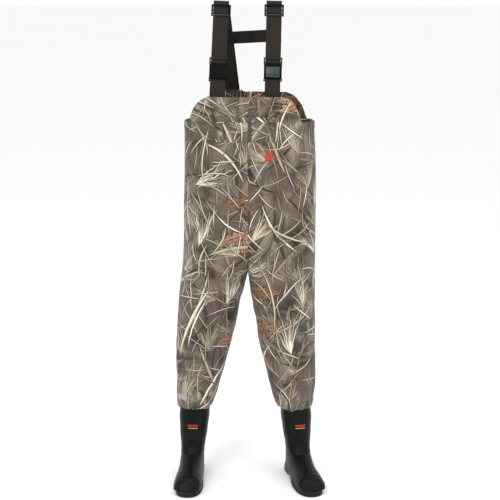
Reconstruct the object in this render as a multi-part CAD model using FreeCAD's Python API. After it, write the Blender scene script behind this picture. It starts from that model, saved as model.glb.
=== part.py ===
"""Chest waders: a camouflage fabric body bonded to rubber boots, worn on buckled shoulder straps.

Units are millimetres. Left and right are the wearer's. The wearer faces -Y, the wearer's left is +X
and +Z is up. Heights in this file are measured up from the soles, and X is measured from the centre
seam. The part's origin is its hanging point, midway between the two strap folds, so every solid is
lowered by HANG_HEIGHT as it is written.
"""
from functools import lru_cache
import math
import os

import FreeCAD
import Part

Vector = FreeCAD.Vector

# ---- driving dimensions ----
FABRIC = 3.5              # camouflage-faced neoprene
LOFT_STEP = 45.0          # between the outlines that a fabric panel is drawn through
GLUE = 0.3                # between a panel and what is sewn or bonded onto it
WEBBING_WIDTH = 50.0
WEBBING_THICK = 2.0
WEBBING_GAP = 4.6         # between the two layers of a doubled strap, which holds a bar
BAR = 3.8                 # diameter of a bar that a strap loops round
LOOP_STEPS = 10           # flats that a strap's loop round a bar is made of
BACK = WEBBING_GAP / 2 + WEBBING_THICK / 2          # a bar's centre, behind its strap's front layer

FOLD_Z = 1628.0           # centre of the fold at the top of each shoulder strap
FOLD_RADIUS = 11.0
HANG_HEIGHT = FOLD_Z + FOLD_RADIUS - WEBBING_THICK / 2

BIB_TOP = 1335.0          # front and back hem
ARMHOLE = 1250.0          # hem at the wearer's sides
CROTCH = 735.0
CROTCH_RISE = 140.0       # height over which the torso parts into two legs
TORSO_BOTTOM = CROTCH + CROTCH_RISE
HIP_FOLD_BOTTOM = 720.0
KNEE_FOLD_TOP = 560.0
KNEE_FOLD_BOTTOM = 380.0
CUFF_TOP = 290.0
CUFF_BOTTOM = 262.0

SIDES = {"left": 1, "right": -1}

# height, outer edge from the centre seam: the body's outline down to the crotch
TORSO_EDGE = {
    "left": [(1340, 219), (1224, 222), (1117, 228), (980, 229), (844, 228), (CROTCH, 228)],
    "right": [(1340, 206), (1224, 209), (1117, 211), (980, 215), (844, 218), (CROTCH, 225)],
}
# height, centre line and half width of each leg from the crotch to the cuff
LEG = {
    "left": [(CROTCH, 114, 114), (635, 122, 107), (564, 129, 101), (493, 134, 97), (421, 143, 89),
             (348, 153, 80), (CUFF_TOP, 158, 69), (CUFF_BOTTOM, 164, 60)],
    "right": [(CROTCH, 112.5, 112.5), (635, 132, 104), (564, 141, 100), (493, 152, 95), (421, 163, 86),
              (348, 172, 75), (CUFF_TOP, 182, 65), (CUFF_BOTTOM, 186, 59)],
}
# height, half depth from front to back
DEPTH = [(1340, 116), (1224, 121), (1117, 126), (980, 127), (844, 123), (CROTCH, 113), (635, 102),
         (564, 97), (493, 91), (421, 85), (348, 77), (CUFF_TOP, 68), (CUFF_BOTTOM, 60)]
TORSO_SQUARENESS = 2.4    # superellipse exponents: 2 is an ellipse
LEG_SQUARENESS = 2.15

# x where the flat hem ends, and width of the rounded shoulder beyond it
FRONT_SHOULDER = {"left": (106, 64), "right": (118, 70)}
BACK_SHOULDER = {"left": (112, 84), "right": (60, 125)}
HEM = 22.0                # height of the binding in front and of the elastic behind
TAPE_HALF = 11.0          # half width of the tape inside each centre seam

POCKET_X = (-104.0, 101.0)
POCKET_Z = (1192.0, 1272.0)
POCKET_DIVIDER_X = 6.0
POCKET_DEPTH = 13.0
POCKET_CLOTH = 2.0
POCKET_HEM = 15.0

EMBLEM_X = 68.0
EMBLEM_Z = 1146.0
EMBLEM_SIZE = (38.0, 46.0)

# x of each strap where it leaves the front hem, at its fold, and at the back hem
STRAP_X = {"left": (79, 86, 82), "right": (-100, -86, -51)}
STRAP_Y = 94.0            # how far before and behind the fold the straps meet the hem
STRAP_FOOT = 1330.0       # height where a strap starts to lean towards its fold
STRAP_TAIL = 52.0         # how far a strap runs down inside the hem
CROSS_X = (-100.0, 16.0, 110.0)   # right end, join and left end of the strap between the back straps
CROSS_Z = (1517.0, 1528.0)        # its centre's height at the right and left ends
CROSS_HALF = 21.0

# along a front strap, measured up from STRAP_FOOT
SOCKET_BAR = 59.0
SOCKET_BODY = (64.8, 106.0)
PLUG_BASE = (106.6, 112.6)
PLUG_BAR = 118.0
PLUG_TOP_BAR = (129.0, 134.0)
LOOP_TOP = 126.0          # the webbing above this stays put when the plug moves
GLIDE = (271.0, 308.0)
GLIDE_BAR = 290.0
FRONT_WEBBING_TOP = 262.0
REAR_WEBBING_TOP = GLIDE_BAR + 9
BUCKLE_HALF = 29.0
BUCKLE_FRONT = -5.5
BUCKLE_REAR = 9.0
RAIL_INNER = WEBBING_WIDTH / 2 + 1.0
SOCKET_ROOM = (-3.2, 6.8)     # front and rear of the room inside the socket
SOCKET_ROOM_HALF = 25.0
SOCKET_WINDOW = (77.0, 95.0)  # bottom and top of the opening each prong springs into
TONGUE = ((-8.0, -1.6, 78.0), (8.0, 5.2, PLUG_BASE[0] + 1))
# one prong in the front view: from its root up at the plug to its barb and its tip
PRONG = [(15.5, 105.4), (20.5, 105.4), (21, 94), (28, 92.5), (28.4, 89), (22, 76), (16.5, 76)]
PRONG_FRONT = -1.4
PRONG_THICK = 6.4

ANKLE = {"left": (174.0, 13.0), "right": (193.0, 3.0)}   # x of each ankle, and its toe-out angle
SHAFT_LEAN = 0.055        # each boot's shaft leans inwards by this much of its height
BOOT_WALL = 4.0
BOOT_WIDEST = 80.0        # half width that clears a boot on both sides
SOLE_THICK = 20.0
INSOLE_THICK = 5.0
BOOT_TOP = 300.0
COLLAR_TAPE_BOTTOM = 268.0
TOE_CAP_BACK = -158.0
TOE_CAP_TOP = 90.0
ARCH = (-62.0, 8.0)       # y of the hollow between heel and ball, and its height
ARCH_HEIGHT = 7.0
CLEAT = 17.0              # from one groove of the tread to the next
GROOVE = 5.0
GROOVE_DEPTH = 4.0
SHANK_Y = (-134.0, 44.0)
SHANK_Z = (16.2, 19.2)
SHANK_HALF = 6.5
BADGE = (40.0, 20.0)
BADGE_Z = 197.0
# back or bottom point and front or top point in the boot's side view, and half width between them
BOOT = [
    ((53, 300), (-53, 300), 51), ((53, 262), (-53, 262), 51.5), ((53, 215), (-54, 220), 51.5),
    ((49, 165), (-52, 172), 47.5), ((47, 125), (-51, 133), 43), ((56, 88), (-58, 111), 40.5),
    ((73, 48), (-82, 96), 40.5), ((83, 6), (-106, 85), 42), ((50, -14), (-128, 76), 43.5),
    ((-25, -14), (-150, 69), 45.5), ((-95, -13), (-170, 61), 46.5), ((-145, -10), (-188, 50), 44),
    ((-180, -3), (-200, 36), 36.5), ((-199, 8), (-207, 24), 21),
]


# ---- small helpers ----
def interpolate(table, z, column=1):
    """A smooth curve through the table's rows, whose first column falls."""
    rows = sorted((row[0], row[column]) for row in table)
    if z <= rows[0][0]:
        return rows[0][1]
    if z >= rows[-1][0]:
        return rows[-1][1]
    slopes = []
    for i in range(len(rows)):
        low, high = rows[max(i - 1, 0)], rows[min(i + 1, len(rows) - 1)]
        slopes.append((high[1] - low[1]) / (high[0] - low[0]))
    i = max(k for k in range(len(rows) - 1) if rows[k][0] <= z)
    span = rows[i + 1][0] - rows[i][0]
    t = (z - rows[i][0]) / span
    h00 = 2 * t**3 - 3 * t**2 + 1
    h10 = t**3 - 2 * t**2 + t
    return (h00 * rows[i][1] + h10 * span * slopes[i]
            + (1 - h00) * rows[i + 1][1] + (t**3 - t**2) * span * slopes[i + 1])


def power(value, exponent):
    """A power that keeps the sign, for superellipses."""
    return math.copysign(abs(value) ** exponent, value)


def box(low, high):
    """A box between two corners."""
    size = [b - a for a, b in zip(low, high)]
    return Part.makeBox(*size, Vector(*low))


def rounded_box(low, high, radius, direction=(0, 1, 0)):
    """A box whose edges along a direction are rounded."""
    solid = box(low, high)
    axis = Vector(*direction)
    edges = [e for e in solid.Edges if abs(e.tangentAt(0).dot(axis)) > 0.99]
    return solid.makeFillet(radius, edges)


def closed_curve(points):
    """A smooth closed wire through points."""
    curve = Part.BSplineCurve()
    curve.interpolate(Points=points, PeriodicFlag=True)
    return Part.Wire(curve.toShape())


def polygon_prism(points, depth, direction):
    """A closed outline of points, extruded."""
    face = Part.Face(Part.makePolygon([Vector(*p) for p in points + points[:1]]))
    return face.extrude(Vector(*direction) * depth)


def export(node, shape):
    """Writes one sub-part, lowered so that the hanging point is the origin."""
    placed = shape.copy()
    placed.translate(Vector(0, 0, -HANG_HEIGHT))
    placed.exportStep(f"parts/{node}.step")


# ---- the fabric body ----
def body_section(side, z, offset):
    """Centre, outer, inner and front half widths, and squareness, of one half of the body."""
    depth = interpolate(DEPTH, z)
    if z >= TORSO_BOTTOM:
        edge = interpolate(TORSO_EDGE[side], z)
        return 0.0, edge + offset, edge + offset, depth + offset, TORSO_SQUARENESS
    if z <= CROTCH:
        centre, half = interpolate(LEG[side], z), interpolate(LEG[side], z, 2)
        return centre, half + offset, half + offset, depth + offset, LEG_SQUARENESS
    # between crotch and torso the seam follows a U in the side view
    up = (z - CROTCH) / CROTCH_RISE
    ease = up * up * (3 - 2 * up)
    square = LEG_SQUARENESS + (TORSO_SQUARENESS - LEG_SQUARENESS) * ease
    edge, crotch_half = interpolate(TORSO_EDGE[side], z), LEG[side][0][2]
    inner = crotch_half + (edge - crotch_half) * ease
    reach = (1 - (2 * up - up * up) ** (square / 2)) ** (1 / square)
    centre = reach * inner
    return centre, edge - centre + offset, inner + offset, depth + offset, square


def body_curve(side, z, offset):
    """The closed outline of one half of the body at a height, uncut at the centre seam."""
    sign = SIDES[side]
    centre, outer, inner, depth, square = body_section(side, z, offset)
    points = []
    for i in range(24):
        angle = 2 * math.pi * i / 24
        across, forward = math.cos(angle), math.sin(angle)
        half = outer if across > 0 else inner
        x = centre + half * power(across, 2 / square)
        points.append(Vector(sign * x, -depth * power(forward, 2 / square), z))
    return closed_curve(points)


@lru_cache(maxsize=None)
def body_loft(side, offset, low, high):
    """One half of the body between two heights as a solid, cut at the centre seam."""
    steps = max(2, round((high - low) / LOFT_STEP))
    curves = [body_curve(side, low + (high - low) * k / steps, offset) for k in range(steps + 1)]
    solid = Part.makeLoft(curves, True, False)
    if high <= CROTCH:
        return solid
    near, far = sorted((0.0, SIDES[side] * 400.0))
    return solid.common(box((near, -200, 0), (far, 200, 1400)))


def skin(side, outside, inside, low, high, region=None):
    """The layer between two offsets of the body's surface, between two heights and in a region."""
    outer = body_loft(side, outside, low, high)
    if region:
        outer = outer.common(region)
    return outer.cut(body_loft(side, inside, low - 1, high + 1))


def both_skins(outside, inside, low, high, region):
    """The same layer across the centre seam, as one piece."""
    halves = [skin(side, outside, inside, low, high, region) for side in SIDES]
    return halves[0].fuse(halves[1])


def band(low, high):
    """Everything between two heights."""
    return box((-400, -300, low), (400, 300, high))


def hem_outline(shoulders, drop):
    """The bib's outline in the front view: a flat hem, rounded shoulders and level armholes."""
    low, top = ARMHOLE - drop, BIB_TOP - drop
    (left_x, left_w), (right_x, right_w) = shoulders["left"], shoulders["right"]
    points = [(300, low)]
    steps = 8
    for k in range(steps + 1):
        angle = math.pi / 2 * k / steps
        points.append((left_x + left_w * math.cos(angle), low + (top - low) * math.sin(angle)))
    for k in range(steps, -1, -1):
        angle = math.pi / 2 * k / steps
        points.append((-right_x - right_w * math.cos(angle), low + (top - low) * math.sin(angle)))
    points += [(-300, low), (-300, 100), (300, 100)]
    return points


def under_hem(drop=0.0):
    """Everything below the hem, or below a line that runs parallel to it."""
    front = polygon_prism([(x, -200, z) for x, z in hem_outline(FRONT_SHOULDER, drop)], 200, (0, 1, 0))
    back = polygon_prism([(x, 0, z) for x, z in hem_outline(BACK_SHOULDER, drop)], 200, (0, 1, 0))
    return front, back


def make_torso():
    """Torso panels, hem bindings and seam tapes."""
    front, back = under_hem()
    whole = front.fuse(back)
    for side in SIDES:
        export(f"{side}_torso_panel", skin(side, 0.0, -FABRIC, TORSO_BOTTOM, BIB_TOP, whole))
        export(f"{side}_hip_fabric", skin(side, 0.0, -FABRIC, HIP_FOLD_BOTTOM, TORSO_BOTTOM))
    binding, elastic, tape = 1.5, 1.7, 0.8
    inside = -FABRIC - GLUE
    front_low, back_low = under_hem(HEM)
    export("front_hem_binding",
           both_skins(binding + GLUE, GLUE, TORSO_BOTTOM, BIB_TOP, front.cut(front_low)))
    export("back_hem_elastic",
           both_skins(inside, inside - elastic, TORSO_BOTTOM, BIB_TOP, back.cut(back_low)))
    tape_top = BIB_TOP - HEM - 4
    for name, y0, y1 in (("front", -200, 0), ("back", 0, 200)):
        strip = box((-TAPE_HALF, y0, TORSO_BOTTOM), (TAPE_HALF, y1, tape_top))
        export(f"{name}_seam_tape", both_skins(inside, inside - tape, TORSO_BOTTOM, tape_top, strip))


def make_pocket():
    """The two-compartment chest pocket, its divider and its hem."""
    (x0, x1), (z0, z1) = POCKET_X, POCKET_Z
    cloth, front = POCKET_CLOTH, POCKET_DEPTH + POCKET_CLOTH
    low, high = z0 - 2, z1 + 2
    block = both_skins(front, GLUE, low, high, box((x0, -200, z0), (x1, 0, z1)))
    room = box((x0 + cloth, -200, z0 + cloth), (x1 - cloth, 0, z1 + 1))
    export("chest_pocket", block.cut(both_skins(POCKET_DEPTH, -1.0, low, high, room)))
    wall = box((POCKET_DIVIDER_X - 1, -200, z0 + cloth), (POCKET_DIVIDER_X + 1, 0, z1 - 4))
    export("pocket_divider", skin("left", POCKET_DEPTH - GLUE, GLUE, low, high, wall))
    fold = 1.2
    top_edge = box((x0, -200, z1 - POCKET_HEM), (x1, 0, z1))
    export("pocket_hem", both_skins(front + GLUE + fold, front + GLUE, low, high, top_edge))


def make_emblem():
    """A generic eight-pointed star, embroidered onto the chest."""
    wide, tall = EMBLEM_SIZE
    corners = []
    for k in range(16):
        angle, reach = math.pi * k / 8, 0.5 if k % 2 == 0 else 0.3
        corners.append((EMBLEM_X + wide * reach * math.sin(angle), -200,
                        EMBLEM_Z + tall * reach * math.cos(angle)))
    patch = polygon_prism(corners, 200, (0, 1, 0))
    stitches = 1.2
    export("chest_emblem", skin("left", GLUE + stitches, GLUE, EMBLEM_Z - tall, EMBLEM_Z + tall, patch))


def make_legs():
    """Thigh, knee and shin panels, and the cuff over each boot."""
    for side in SIDES:
        export(f"{side}_thigh_panel", skin(side, 0.0, -FABRIC, KNEE_FOLD_TOP, HIP_FOLD_BOTTOM))
        export(f"{side}_knee_fabric", skin(side, 0.0, -FABRIC, KNEE_FOLD_BOTTOM, KNEE_FOLD_TOP))
        export(f"{side}_shin_panel", skin(side, 0.0, -FABRIC, CUFF_TOP, KNEE_FOLD_BOTTOM))
        export(f"{side}_cuff_hem", skin(side, 0.6, -FABRIC, CUFF_BOTTOM, CUFF_TOP))


# ---- boots ----
def boot_transform(side, shape):
    """Puts a boot, modelled with its ankle over the origin and toes to -Y, in its place."""
    x, toe_out = ANKLE[side]
    sign = SIDES[side]
    shape = shape.copy()
    shape.rotate(Vector(0, 0, 0), Vector(0, 0, 1), sign * toe_out)
    shape.translate(Vector(sign * x, 0, 0))
    return shape


def boot_curve(side, section, inset):
    """One closed section of the boot between its back or bottom and its front or top."""
    back, front, half = section
    a, b = Vector(0, *back), Vector(0, *front)
    centre, reach = (a + b) * 0.5, (b - a) * 0.5
    reach = reach * ((reach.Length - inset) / reach.Length)
    points = []
    for i in range(24):
        angle = 2 * math.pi * i / 24
        along, across = power(math.cos(angle), 2 / 2.3), power(math.sin(angle), 2 / 2.3)
        point = centre + reach * along + Vector((half - inset) * across, 0, 0)
        point.x -= SIDES[side] * SHAFT_LEAN * (point.z - 100)
        points.append(point)
    return closed_curve(points)


@lru_cache(maxsize=None)
def boot_solid(side, inset):
    """The boot's outer shape, or with an inset the room inside it."""
    return Part.makeLoft([boot_curve(side, section, inset) for section in BOOT], True, False)


def sole_outline(side, inset, z):
    """The footprint: heel, waist, ball and toe."""
    sign = SIDES[side]
    points = [(0, 84), (29, 72), (36, 42), (34, 0), (34, -50), (43, -105), (45, -150), (34, -190),
              (6, -207), (-22, -198), (-40, -165), (-45, -120), (-40, -60), (-32, -10), (-33, 40), (-27, 72)]
    centre_y = -60.0
    shrink_x, shrink_y = 1 - inset / 45, 1 - inset / 145
    return closed_curve([Vector(sign * x * shrink_x, centre_y + (y - centre_y) * shrink_y, z)
                         for x, y in points])


def sole_slab(side, inset, low, high):
    """The footprint as a slab between two heights."""
    return Part.Face(sole_outline(side, inset, low)).extrude(Vector(0, 0, high - low))


def boot_layer(side, thick, region):
    """A layer bonded to the outside of the boot, within a region."""
    return boot_solid(side, -thick).cut(boot_solid(side, 0.0)).common(region)


def outsole(side):
    """The sole, with an arch, cross grooves in its tread, and a channel for the shank."""
    sole = sole_slab(side, 0.0, 0.0, SOLE_THICK)
    sole = sole.cut(box((-BOOT_WIDEST, ARCH[0], -1), (BOOT_WIDEST, ARCH[1], ARCH_HEIGHT)))
    forefoot, heel = [-80 - CLEAT * k for k in range(7)], [62 - CLEAT * k for k in range(3)]
    for y in forefoot + heel:
        sole = sole.cut(box((-BOOT_WIDEST, y - GROOVE, -1), (BOOT_WIDEST, y, GROOVE_DEPTH)))
    play = 1.0
    channel = box((-SHANK_HALF - play / 2, SHANK_Y[0] - play, SHANK_Z[0] - 0.2),
                  (SHANK_HALF + play / 2, SHANK_Y[1] + play, SOLE_THICK + 1))
    return sole.cut(channel)


def make_boots():
    """Each boot: upper, toe cap, outsole with heel and cleats, insole, shank, collar tape and badge."""
    for side in SIDES:
        room = boot_solid(side, BOOT_WALL)
        upper = boot_solid(side, 0.0).common(band(SOLE_THICK, BOOT_TOP)).cut(room)
        export(f"{side}_boot_upper", boot_transform(side, upper))
        toe = box((-BOOT_WIDEST, -230, SOLE_THICK), (BOOT_WIDEST, TOE_CAP_BACK, TOE_CAP_TOP))
        export(f"{side}_toe_cap", boot_transform(side, boot_layer(side, 1.6, toe)))
        collar = band(COLLAR_TAPE_BOTTOM, BOOT_TOP)
        export(f"{side}_collar_tape", boot_transform(side, boot_layer(side, 1.2, collar)))
        wide, tall = BADGE
        x = -SIDES[side] * SHAFT_LEAN * (BADGE_Z - 100)
        label = rounded_box((x - wide / 2, -90, BADGE_Z - tall / 2), (x + wide / 2, 0, BADGE_Z + tall / 2), 4)
        export(f"{side}_boot_badge", boot_transform(side, boot_layer(side, 0.8, label)))
        export(f"{side}_outsole", boot_transform(side, outsole(side)))
        low, high = SHANK_Z
        back, front = SHANK_Y
        shank = rounded_box((-SHANK_HALF, back, low), (SHANK_HALF, front, high), 3, (0, 0, 1))
        export(f"{side}_shank", boot_transform(side, shank))
        insole = sole_slab(side, 10.0, SOLE_THICK, SOLE_THICK + INSOLE_THICK).common(room)
        export(f"{side}_insole", boot_transform(side, insole))


# ---- straps ----
def lean_angle():
    """How far a strap leans from upright between the hem and its fold."""
    rise = FOLD_Z - STRAP_FOOT
    return math.atan2(STRAP_Y, rise) - math.asin(FOLD_RADIUS / math.hypot(STRAP_Y, rise))


LEAN = lean_angle()
RUN = math.sqrt(STRAP_Y**2 + (FOLD_Z - STRAP_FOOT) ** 2 - FOLD_RADIUS**2)   # hem to start of fold


def strap_frame(side):
    """Origin, and across, rearward and upward directions, of a front strap."""
    foot_x, fold_x, _ = STRAP_X[side]
    up = Vector((fold_x - foot_x) / RUN, math.sin(LEAN), math.cos(LEAN)).normalize()
    rear = Vector(0, math.cos(LEAN), -math.sin(LEAN))
    across = rear.cross(up).normalize()
    return Vector(foot_x, -STRAP_Y, STRAP_FOOT), across, up.cross(across), up


def on_strap(side, shape):
    """Moves a piece from its own axes onto a front strap."""
    origin, across, rear, up = strap_frame(side)
    matrix = FreeCAD.Matrix(across.x, rear.x, up.x, origin.x,
                            across.y, rear.y, up.y, origin.y,
                            across.z, rear.z, up.z, origin.z, 0, 0, 0, 1)
    placed = shape.copy()
    placed.Placement = FreeCAD.Placement(matrix)
    return placed


def strap_point(side, rear, up):
    """A point on a front strap's centre line, or behind it."""
    origin, _, rearward, upward = strap_frame(side)
    return origin + rearward * rear + upward * up


def ribbon(points, sideways, width, thick):
    """Flat webbing along a path, with its width as near as it can be to a direction."""
    sections = []
    for i, point in enumerate(points):
        ahead, behind = points[min(i + 1, len(points) - 1)], points[max(i - 1, 0)]
        along = (ahead - behind).normalize()
        across = (sideways - along * along.dot(sideways)).normalize()
        normal = along.cross(across)
        corners = [point + across * (width / 2 * a) + normal * (thick / 2 * b)
                   for a, b in ((-1, -1), (1, -1), (1, 1), (-1, 1))]
        sections.append(Part.makePolygon(corners + corners[:1]))
    return Part.makeLoft(sections, True, True)


def loop_points(side, bar, upwards):
    """Points half way round a bar that a strap loops over or under."""
    turn = 1 if upwards else -1
    points = []
    for k in range(LOOP_STEPS + 1):
        angle = math.pi * k / LOOP_STEPS
        points.append(strap_point(side, BACK * (1 - math.cos(angle)), bar + turn * BACK * math.sin(angle)))
    return points


def make_straps():
    """Webbing from the front hem to the socket, and from the back hem over the shoulder to the plug.

    Between the plug and the slider the webbing is doubled, and its two layers shorten as the plug rises.
    """
    for side in SIDES:
        foot_x, fold_x, back_x = STRAP_X[side]
        sideways = strap_frame(side)[1]
        tail = Vector(0, 0, -STRAP_TAIL)
        lower = [Vector(foot_x, -STRAP_Y, STRAP_FOOT) + tail, Vector(foot_x, -STRAP_Y, STRAP_FOOT)]
        lower += loop_points(side, SOCKET_BAR, True)
        lower += [strap_point(side, 2 * BACK, 2), strap_point(side, 2 * BACK, 0) + tail * 0.6]
        export(f"{side}_lower_strap", ribbon(lower, sideways, WEBBING_WIDTH, WEBBING_THICK))

        back_foot = Vector(back_x, STRAP_Y, STRAP_FOOT)
        path = [back_foot + tail, back_foot]
        for k in range(9):
            angle = LEAN + (math.pi - 2 * LEAN) * k / 8
            path.append(Vector(fold_x, FOLD_RADIUS * math.cos(angle), FOLD_Z + FOLD_RADIUS * math.sin(angle)))
        path.append(strap_point(side, 0, FRONT_WEBBING_TOP + GLUE))
        loop = [strap_point(side, 0, LOOP_TOP)] + loop_points(side, PLUG_BAR, False)
        loop.append(strap_point(side, 2 * BACK, LOOP_TOP))
        front, rear = [[strap_point(side, behind, LOOP_TOP + GLUE), strap_point(side, behind, top)]
                       for behind, top in ((0, FRONT_WEBBING_TOP), (2 * BACK, REAR_WEBBING_TOP))]
        for name, points in (("shoulder_strap", path), ("plug_loop", loop),
                             ("front_webbing", front), ("rear_webbing", rear)):
            export(f"{side}_{name}", ribbon(points, sideways, WEBBING_WIDTH, WEBBING_THICK))


def make_cross_strap():
    """The elastic between the two back straps, and the webbing that joins it to the left one."""
    right_x, join_x, left_x = CROSS_X
    right_z, left_z = CROSS_Z
    run_up = (FOLD_Z - (right_z + left_z) / 2) / math.cos(LEAN)
    y = FOLD_RADIUS * math.cos(LEAN) + run_up * math.sin(LEAN) - WEBBING_THICK - 0.4
    slope = (left_z - right_z) / (left_x - right_x)
    for name, x0, x1 in (("cross_elastic", right_x, join_x), ("cross_webbing", join_x, left_x)):
        middle = (x0 + x1) / 2
        piece = box((x0, -WEBBING_THICK, -CROSS_HALF), (x1, 0, CROSS_HALF))
        piece.rotate(Vector(middle, 0, 0), Vector(0, 1, 0), -math.degrees(math.atan(slope)))
        piece.rotate(Vector(0, 0, 0), Vector(1, 0, 0), math.degrees(LEAN))
        piece.translate(Vector(0, y, right_z + slope * (middle - right_x)))
        export(name, piece)


# ---- buckles and sliders ----
def bar_solid(rear, up, half):
    """A round bar across a strap."""
    return Part.makeCylinder(BAR / 2, 2 * half, Vector(-half, rear, up), Vector(1, 0, 0))


def make_sockets():
    """The female half of each side-release buckle."""
    low, high = SOCKET_BODY
    body = rounded_box((-BUCKLE_HALF, BUCKLE_FRONT, low), (BUCKLE_HALF, BUCKLE_REAR, high), 3, (0, 0, 1))
    front, rear = SOCKET_ROOM
    body = body.cut(box((-SOCKET_ROOM_HALF, front, low + 3), (SOCKET_ROOM_HALF, rear, high + 1)))
    for sign in SIDES.values():
        x0, x1 = sorted((sign * (SOCKET_ROOM_HALF - 1), sign * (BUCKLE_HALF + 1)))
        body = body.cut(box((x0, front, SOCKET_WINDOW[0]), (x1, rear, SOCKET_WINDOW[1])))
        rail0, rail1 = sorted((sign * RAIL_INNER, sign * (BUCKLE_HALF + 1)))
        rail = box((rail0, BACK - 2.5, SOCKET_BAR - 2), (rail1, BACK + 2.5, low + 1))
        body = body.fuse(rail)
    body = body.fuse(bar_solid(BACK, SOCKET_BAR, BUCKLE_HALF + 1)).removeSplitter()
    for side in SIDES:
        export(f"{side}_buckle_socket", on_strap(side, body))


def make_plugs():
    """The male half: base, tongue, rails and two bars, and its two springy prongs."""
    low, high = PLUG_BASE
    top0, top1 = PLUG_TOP_BAR
    body = rounded_box((-BUCKLE_HALF, BUCKLE_FRONT, low), (BUCKLE_HALF, BUCKLE_REAR, high), 2, (0, 0, 1))
    body = body.fuse(box(*TONGUE))
    for sign in SIDES.values():
        x0, x1 = sorted((sign * RAIL_INNER, sign * (BUCKLE_HALF + 1)))
        body = body.fuse(box((x0, -5, high - 1), (x1, BACK + 2.5, top1)))
    body = body.fuse(bar_solid(BACK, PLUG_BAR, BUCKLE_HALF))
    body = body.fuse(rounded_box((-BUCKLE_HALF - 1, -5, top0), (BUCKLE_HALF + 1, -1.4, top1), 1, (1, 0, 0)))
    body = body.removeSplitter()
    for side in SIDES:
        export(f"{side}_buckle_plug", on_strap(side, body))
        for name, sign in (("outer", SIDES[side]), ("inner", -SIDES[side])):
            outline = [(sign * x, PRONG_FRONT, z) for x, z in PRONG]
            prong = polygon_prism(outline, PRONG_THICK, (0, 1, 0))
            export(f"{side}_{name}_prong", on_strap(side, prong))


def make_glides():
    """The three-bar slider below each fold."""
    low, high = GLIDE
    half = RAIL_INNER + 5.5
    body = box((-half, -5, low), (half, -1.4, low + 7)).fuse(box((-half, -5, high - 6), (half, -1.4, high)))
    for sign in SIDES.values():
        x0, x1 = sorted((sign * RAIL_INNER, sign * half))
        body = body.fuse(box((x0, -5, low), (x1, BACK + 2, high)))
    body = body.fuse(bar_solid(BACK, GLIDE_BAR, half)).removeSplitter()
    for side in SIDES:
        export(f"{side}_strap_glide", on_strap(side, body))


os.makedirs("parts", exist_ok=True)
make_torso()
make_pocket()
make_emblem()
make_legs()
make_boots()
make_straps()
make_cross_strap()
make_sockets()
make_plugs()
make_glides()
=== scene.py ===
"""Looks for the chest waders: camouflage neoprene body, webbing straps, moulded buckles and rubber boots.

Lengths are metres. Heights in the tables are measured up from the soles, and placed() lowers them to the
frame, whose origin is the hanging point between the two strap folds. Left and right are the wearer's, and
the wearer faces -Y with the left side at +X.
"""

import math

import bmesh
import bpy
import numpy as np
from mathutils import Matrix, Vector
from mathutils.bvhtree import BVHTree


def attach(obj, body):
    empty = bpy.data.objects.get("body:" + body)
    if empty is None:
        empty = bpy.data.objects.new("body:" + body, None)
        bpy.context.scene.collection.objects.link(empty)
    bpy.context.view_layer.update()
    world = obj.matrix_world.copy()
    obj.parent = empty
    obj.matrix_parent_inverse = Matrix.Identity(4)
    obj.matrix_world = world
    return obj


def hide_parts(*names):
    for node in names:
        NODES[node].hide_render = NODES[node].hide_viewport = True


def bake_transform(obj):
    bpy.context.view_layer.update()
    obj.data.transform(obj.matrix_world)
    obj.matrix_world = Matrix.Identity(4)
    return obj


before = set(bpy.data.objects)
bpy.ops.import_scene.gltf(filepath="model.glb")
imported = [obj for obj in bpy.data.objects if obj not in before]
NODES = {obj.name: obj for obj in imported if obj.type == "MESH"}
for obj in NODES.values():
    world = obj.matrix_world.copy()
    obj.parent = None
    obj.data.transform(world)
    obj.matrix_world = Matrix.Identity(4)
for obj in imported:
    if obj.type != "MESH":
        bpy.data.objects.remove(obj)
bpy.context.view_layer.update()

# ---- dimensions shared with the CAD part ----
HANG_HEIGHT = 1.638
FABRIC = 0.0035
BIB_TOP = 1.335
ARMHOLE = 1.250
CROTCH = 0.735
CROTCH_RISE = 0.140
TORSO_BOTTOM = CROTCH + CROTCH_RISE
SPLIT = 0.550             # the upper and lower fabric meshes meet here, on the thigh
CUFF_BOTTOM = 0.262
SIDES = {"left": 1, "right": -1}

TORSO_EDGE = {
    "left": [(1.340, .219), (1.224, .222), (1.117, .228), (.980, .229), (.844, .228), (CROTCH, .228)],
    "right": [(1.340, .206), (1.224, .209), (1.117, .211), (.980, .215), (.844, .218), (CROTCH, .225)],
}
LEG = {
    "left": [(CROTCH, .114, .114), (.635, .122, .107), (.564, .129, .101), (.493, .134, .097),
             (.421, .143, .089), (.348, .153, .080), (.290, .158, .069), (CUFF_BOTTOM, .164, .060)],
    "right": [(CROTCH, .1125, .1125), (.635, .132, .104), (.564, .141, .100), (.493, .152, .095),
              (.421, .163, .086), (.348, .172, .075), (.290, .182, .065), (CUFF_BOTTOM, .186, .059)],
}
DEPTH = [(1.340, .116), (1.224, .121), (1.117, .126), (.980, .127), (.844, .123), (CROTCH, .113),
         (.635, .102), (.564, .097), (.493, .091), (.421, .085), (.348, .077), (.290, .068),
         (CUFF_BOTTOM, .060)]
TORSO_SQUARENESS = 2.4
EMBLEM_X, EMBLEM_Z = 0.068, 1.146
LEG_SQUARENESS = 2.15
FRONT_SHOULDER = {"left": (0.106, 0.064), "right": (0.118, 0.070)}
BACK_SHOULDER = {"left": (0.112, 0.084), "right": (0.060, 0.125)}


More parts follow.
